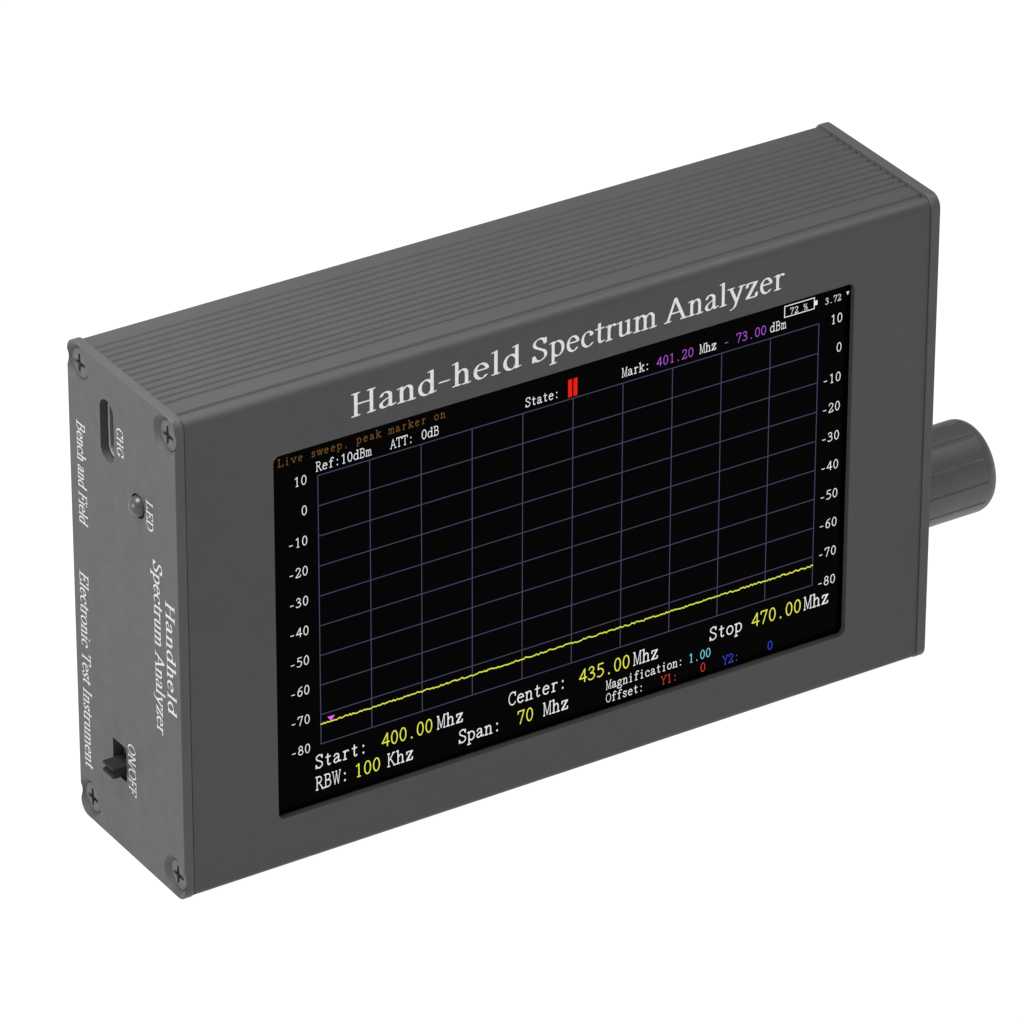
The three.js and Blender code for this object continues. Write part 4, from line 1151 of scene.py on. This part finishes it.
def screen_words(colour):
    sheets = []
    for baseline, height, words in SCREEN_LINES:
        for text, start, end, shade in words:
            if shade == colour:
                sheets += typed(text, start, end, -baseline, height, FINE_PEN)
    return sheets


def scale_words():
    """The level at each line of the grid, down both sides."""
    sheets = []
    for row in range(GRID["rows"] + 1):
        text = str(SCALE["first"] + row * SCALE["step"])
        y = GRID["top"] + (GRID["bottom"] - GRID["top"]) * row / GRID["rows"]
        for end in (SCALE["left_end"], SCALE["right_end"]):
            start = end - SCALE["letter"] * len(text)
            sheets += typed(text, start, end, -y - SMALL / 2, SMALL, FINE_PEN)
    return sheets


def grid_lines():
    half = GRID["line"] / 2
    areas = []
    for i in range(GRID["columns"] + 1):
        x = GRID["left"] + (GRID["right"] - GRID["left"]) * i / GRID["columns"]
        areas.append(patch(x - half, x + half, GRID["top"] - half, GRID["bottom"] + half))
    for i in range(GRID["rows"] + 1):
        y = GRID["top"] + (GRID["bottom"] - GRID["top"]) * i / GRID["rows"]
        areas.append(patch(GRID["left"] - half, GRID["right"] + half, y - half, y + half))
    return [union(areas)]


def trace_line():
    """The noise floor, as a sweep draws it."""
    chance = random.Random(TRACE["seed"])
    stroke = []
    for x in range(GRID["left"], GRID["right"] + 1, TRACE["step"]):
        stroke.append((x, -TRACE["level"] + chance.uniform(-1, 1) * TRACE["jitter"]))
    half = TRACE["width"] / 2
    return [union(swept(stroke, pen_nib(half, half, 0, 8)))]


def battery_outline():
    left, right, top, bottom = (BATTERY[side] for side in ("left", "right", "top", "bottom"))
    line = BATTERY["line"]
    areas = [
        patch(left, right, top, top + line), patch(left, right, bottom - line, bottom),
        patch(left, left + line, top, bottom), patch(right - line, right, top, bottom),
        patch(*BATTERY["nub"]),
    ]
    return [union(areas)]


def triangle(points):
    return ([(x, -y) for x, y in points], [[0, 1, 2]])


def screen_picture():
    drawings = {colour: screen_words(colour) for colour in SCREEN_COLOURS}
    drawings["white"] += scale_words() + battery_outline() + [triangle(FALLING)]
    drawings["grid"] = grid_lines()
    drawings["yellow"] += trace_line()
    drawings["pink"] = [triangle(MARKER)]
    drawings["red"] = [union([patch(*bar)]) for bar in STATE_BARS]
    drawings = {colour: sheets for colour, sheets in drawings.items() if sheets}
    for layer, (colour, sheets) in enumerate(drawings.items()):
        near = GLASS_FACE - PICTURE * (1 + layer)

        def on_screen(u, v, out, near=near):
            return (SCREEN_LEFT + u * DOT_X, near + PICTURE / 2 - out * PICTURE / 2, SCREEN_TOP + v * DOT_Z)

        finish = lit(f"screen_{colour}", SCREEN_COLOURS[colour])
        raised(f"screen_{colour}", sheets, on_screen, "case", finish)


# ---- CAD nodes that stay as they are

KEPT = {
    "screen_glass": ["display_glass"],
    "adhesive_tape": ["display_tape"],
    "tin_plate": ["display_frame", "rf_shield_can", "reference_crystal", "lamp_lead_upper", "lamp_lead_lower",
                  "encoder_rear_cover"],
    "light_guide": ["display_backlight"],
    "flex_film": ["display_flex"],
    "circuit_board": ["main_board"],
    "connector_nylon": ["flex_connector", "battery_connector"],
    "chip_package": ["processor_chip", "interface_chip", "charger_chip", "power_inductor", "synthesizer_chip",
                     "mixer_chip"],
    "foam": ["battery_pad"],
    "battery_wrap": ["battery_cell"],
    "wire_red": ["battery_lead_positive"],
    "wire_black": ["battery_lead_negative"],
    # painted light: the switch body's grey is lightened to offset the shade in its slot
    "switch_base_painted_light": ["power_switch_body"],
    "encoder_plastic": ["encoder_body", "encoder_plunger"],
    "zinc": ["encoder_shaft"],
    "rf_insulator": ["rf_input_insulator"],
    "rf_gold": ["rf_input_contact"],
}


def finish_kept_nodes():
    for name, nodes in KEPT.items():
        for node in nodes:
            piece = frame["nodes"][node]
            piece.data.materials.clear()
            piece.data.materials.append(FINISHES[name])


# ---- studio

CAMERA = {
    "aim": (-0.01135, -0.00575, 0.04024), "distance": 1.0077, "azimuth": -32.415, "elevation": 29.573,
    "roll": 0.151, "lens": 253.3,
}
SIDE_LIGHT = {"strength": 1.65, "direction": (1.0, -0.2, -0.12), "softness": 35}
LEFT_LIGHT = {"watts": 0.737, "place": (-0.12, 0.02, 0.25), "size": 0.14}
RIGHT_LIGHT = {"watts": 0.238, "place": (0.13, -0.03, 0.27), "size": 0.12}
SURROUNDINGS = 0.4  # brightness of the white room
FLOOR_REACH = 6000  # how far the table top runs from the middle, in millimetres


def add_camera():
    azimuth, elevation = math.radians(CAMERA["azimuth"]), math.radians(CAMERA["elevation"])
    towards = Vector((
        -math.sin(azimuth) * math.cos(elevation), math.cos(azimuth) * math.cos(elevation),
        -math.sin(elevation)))
    camera = placed("camera", bpy.data.cameras.new("camera"))
    camera.data.lens = CAMERA["lens"]
    camera.location = Vector(CAMERA["aim"]) - towards * CAMERA["distance"]
    roll = Quaternion((0, 0, 1), math.radians(CAMERA["roll"]))
    camera.rotation_euler = (towards.to_track_quat("-Z", "Y") @ roll).to_euler()
    bpy.context.scene.camera = camera


def add_lights():
    side = placed("side_light", bpy.data.lights.new("side_light", "SUN"))
    side.data.energy = SIDE_LIGHT["strength"]
    side.data.angle = math.radians(SIDE_LIGHT["softness"])
    side.rotation_euler = Vector(SIDE_LIGHT["direction"]).to_track_quat("-Z", "Y").to_euler()
    for name, light in (("left_light", LEFT_LIGHT), ("right_light", RIGHT_LIGHT)):
        lamp_above = placed(name, bpy.data.lights.new(name, "AREA"))
        lamp_above.data.energy = light["watts"]
        lamp_above.data.size = light["size"]
        lamp_above.location = light["place"]
    world = bpy.data.worlds.new("studio")
    world.use_nodes = True
    fill(world.node_tree.nodes["Background"], Color=(1, 1, 1, 1), Strength=SURROUNDINGS)
    bpy.context.scene.world = world
    bpy.context.scene.view_settings.view_transform = "Standard"


def add_floor():
    """A white, softly glowing table top."""
    corners = [(u * FLOOR_REACH, v * FLOOR_REACH, 0) for u, v in ((-1, -1), (1, -1), (1, 1), (-1, 1))]
    floor = piece_from("floor", corners, [[0, 1, 2, 3]])
    finish = Finish("floor", (0.08, 0.08, 0.08), 0.9, 0.0, Emission_Strength=1.0, Specular_IOR_Level=0.0)
    fill(finish.shader, Emission_Color=(1, 1, 1, 1))
    floor.data.materials.append(finish.mottle(30, 0.02).material)


# ---- assembly

add_camera()
add_lights()
add_floor()
finish_kept_nodes()
housing_tube()
left_plate()
right_plate()
for screw_node in SCREW_NODES:
    plate_screw(screw_node)
port_shell()
port_tongue()
lamp()
switch_knob()
control_knob()
hex_nut("encoder_nut", bore=3.6, slot="zinc")
washer("encoder_washer", bore=3.65, slot="zinc")
encoder_bushing()
hex_nut("rf_input_nut", bore=3.3, slot="rf_gold")
washer("rf_input_washer", bore=3.35, slot="rf_gold")
rf_shell()
printed_lettering()
screen_picture()
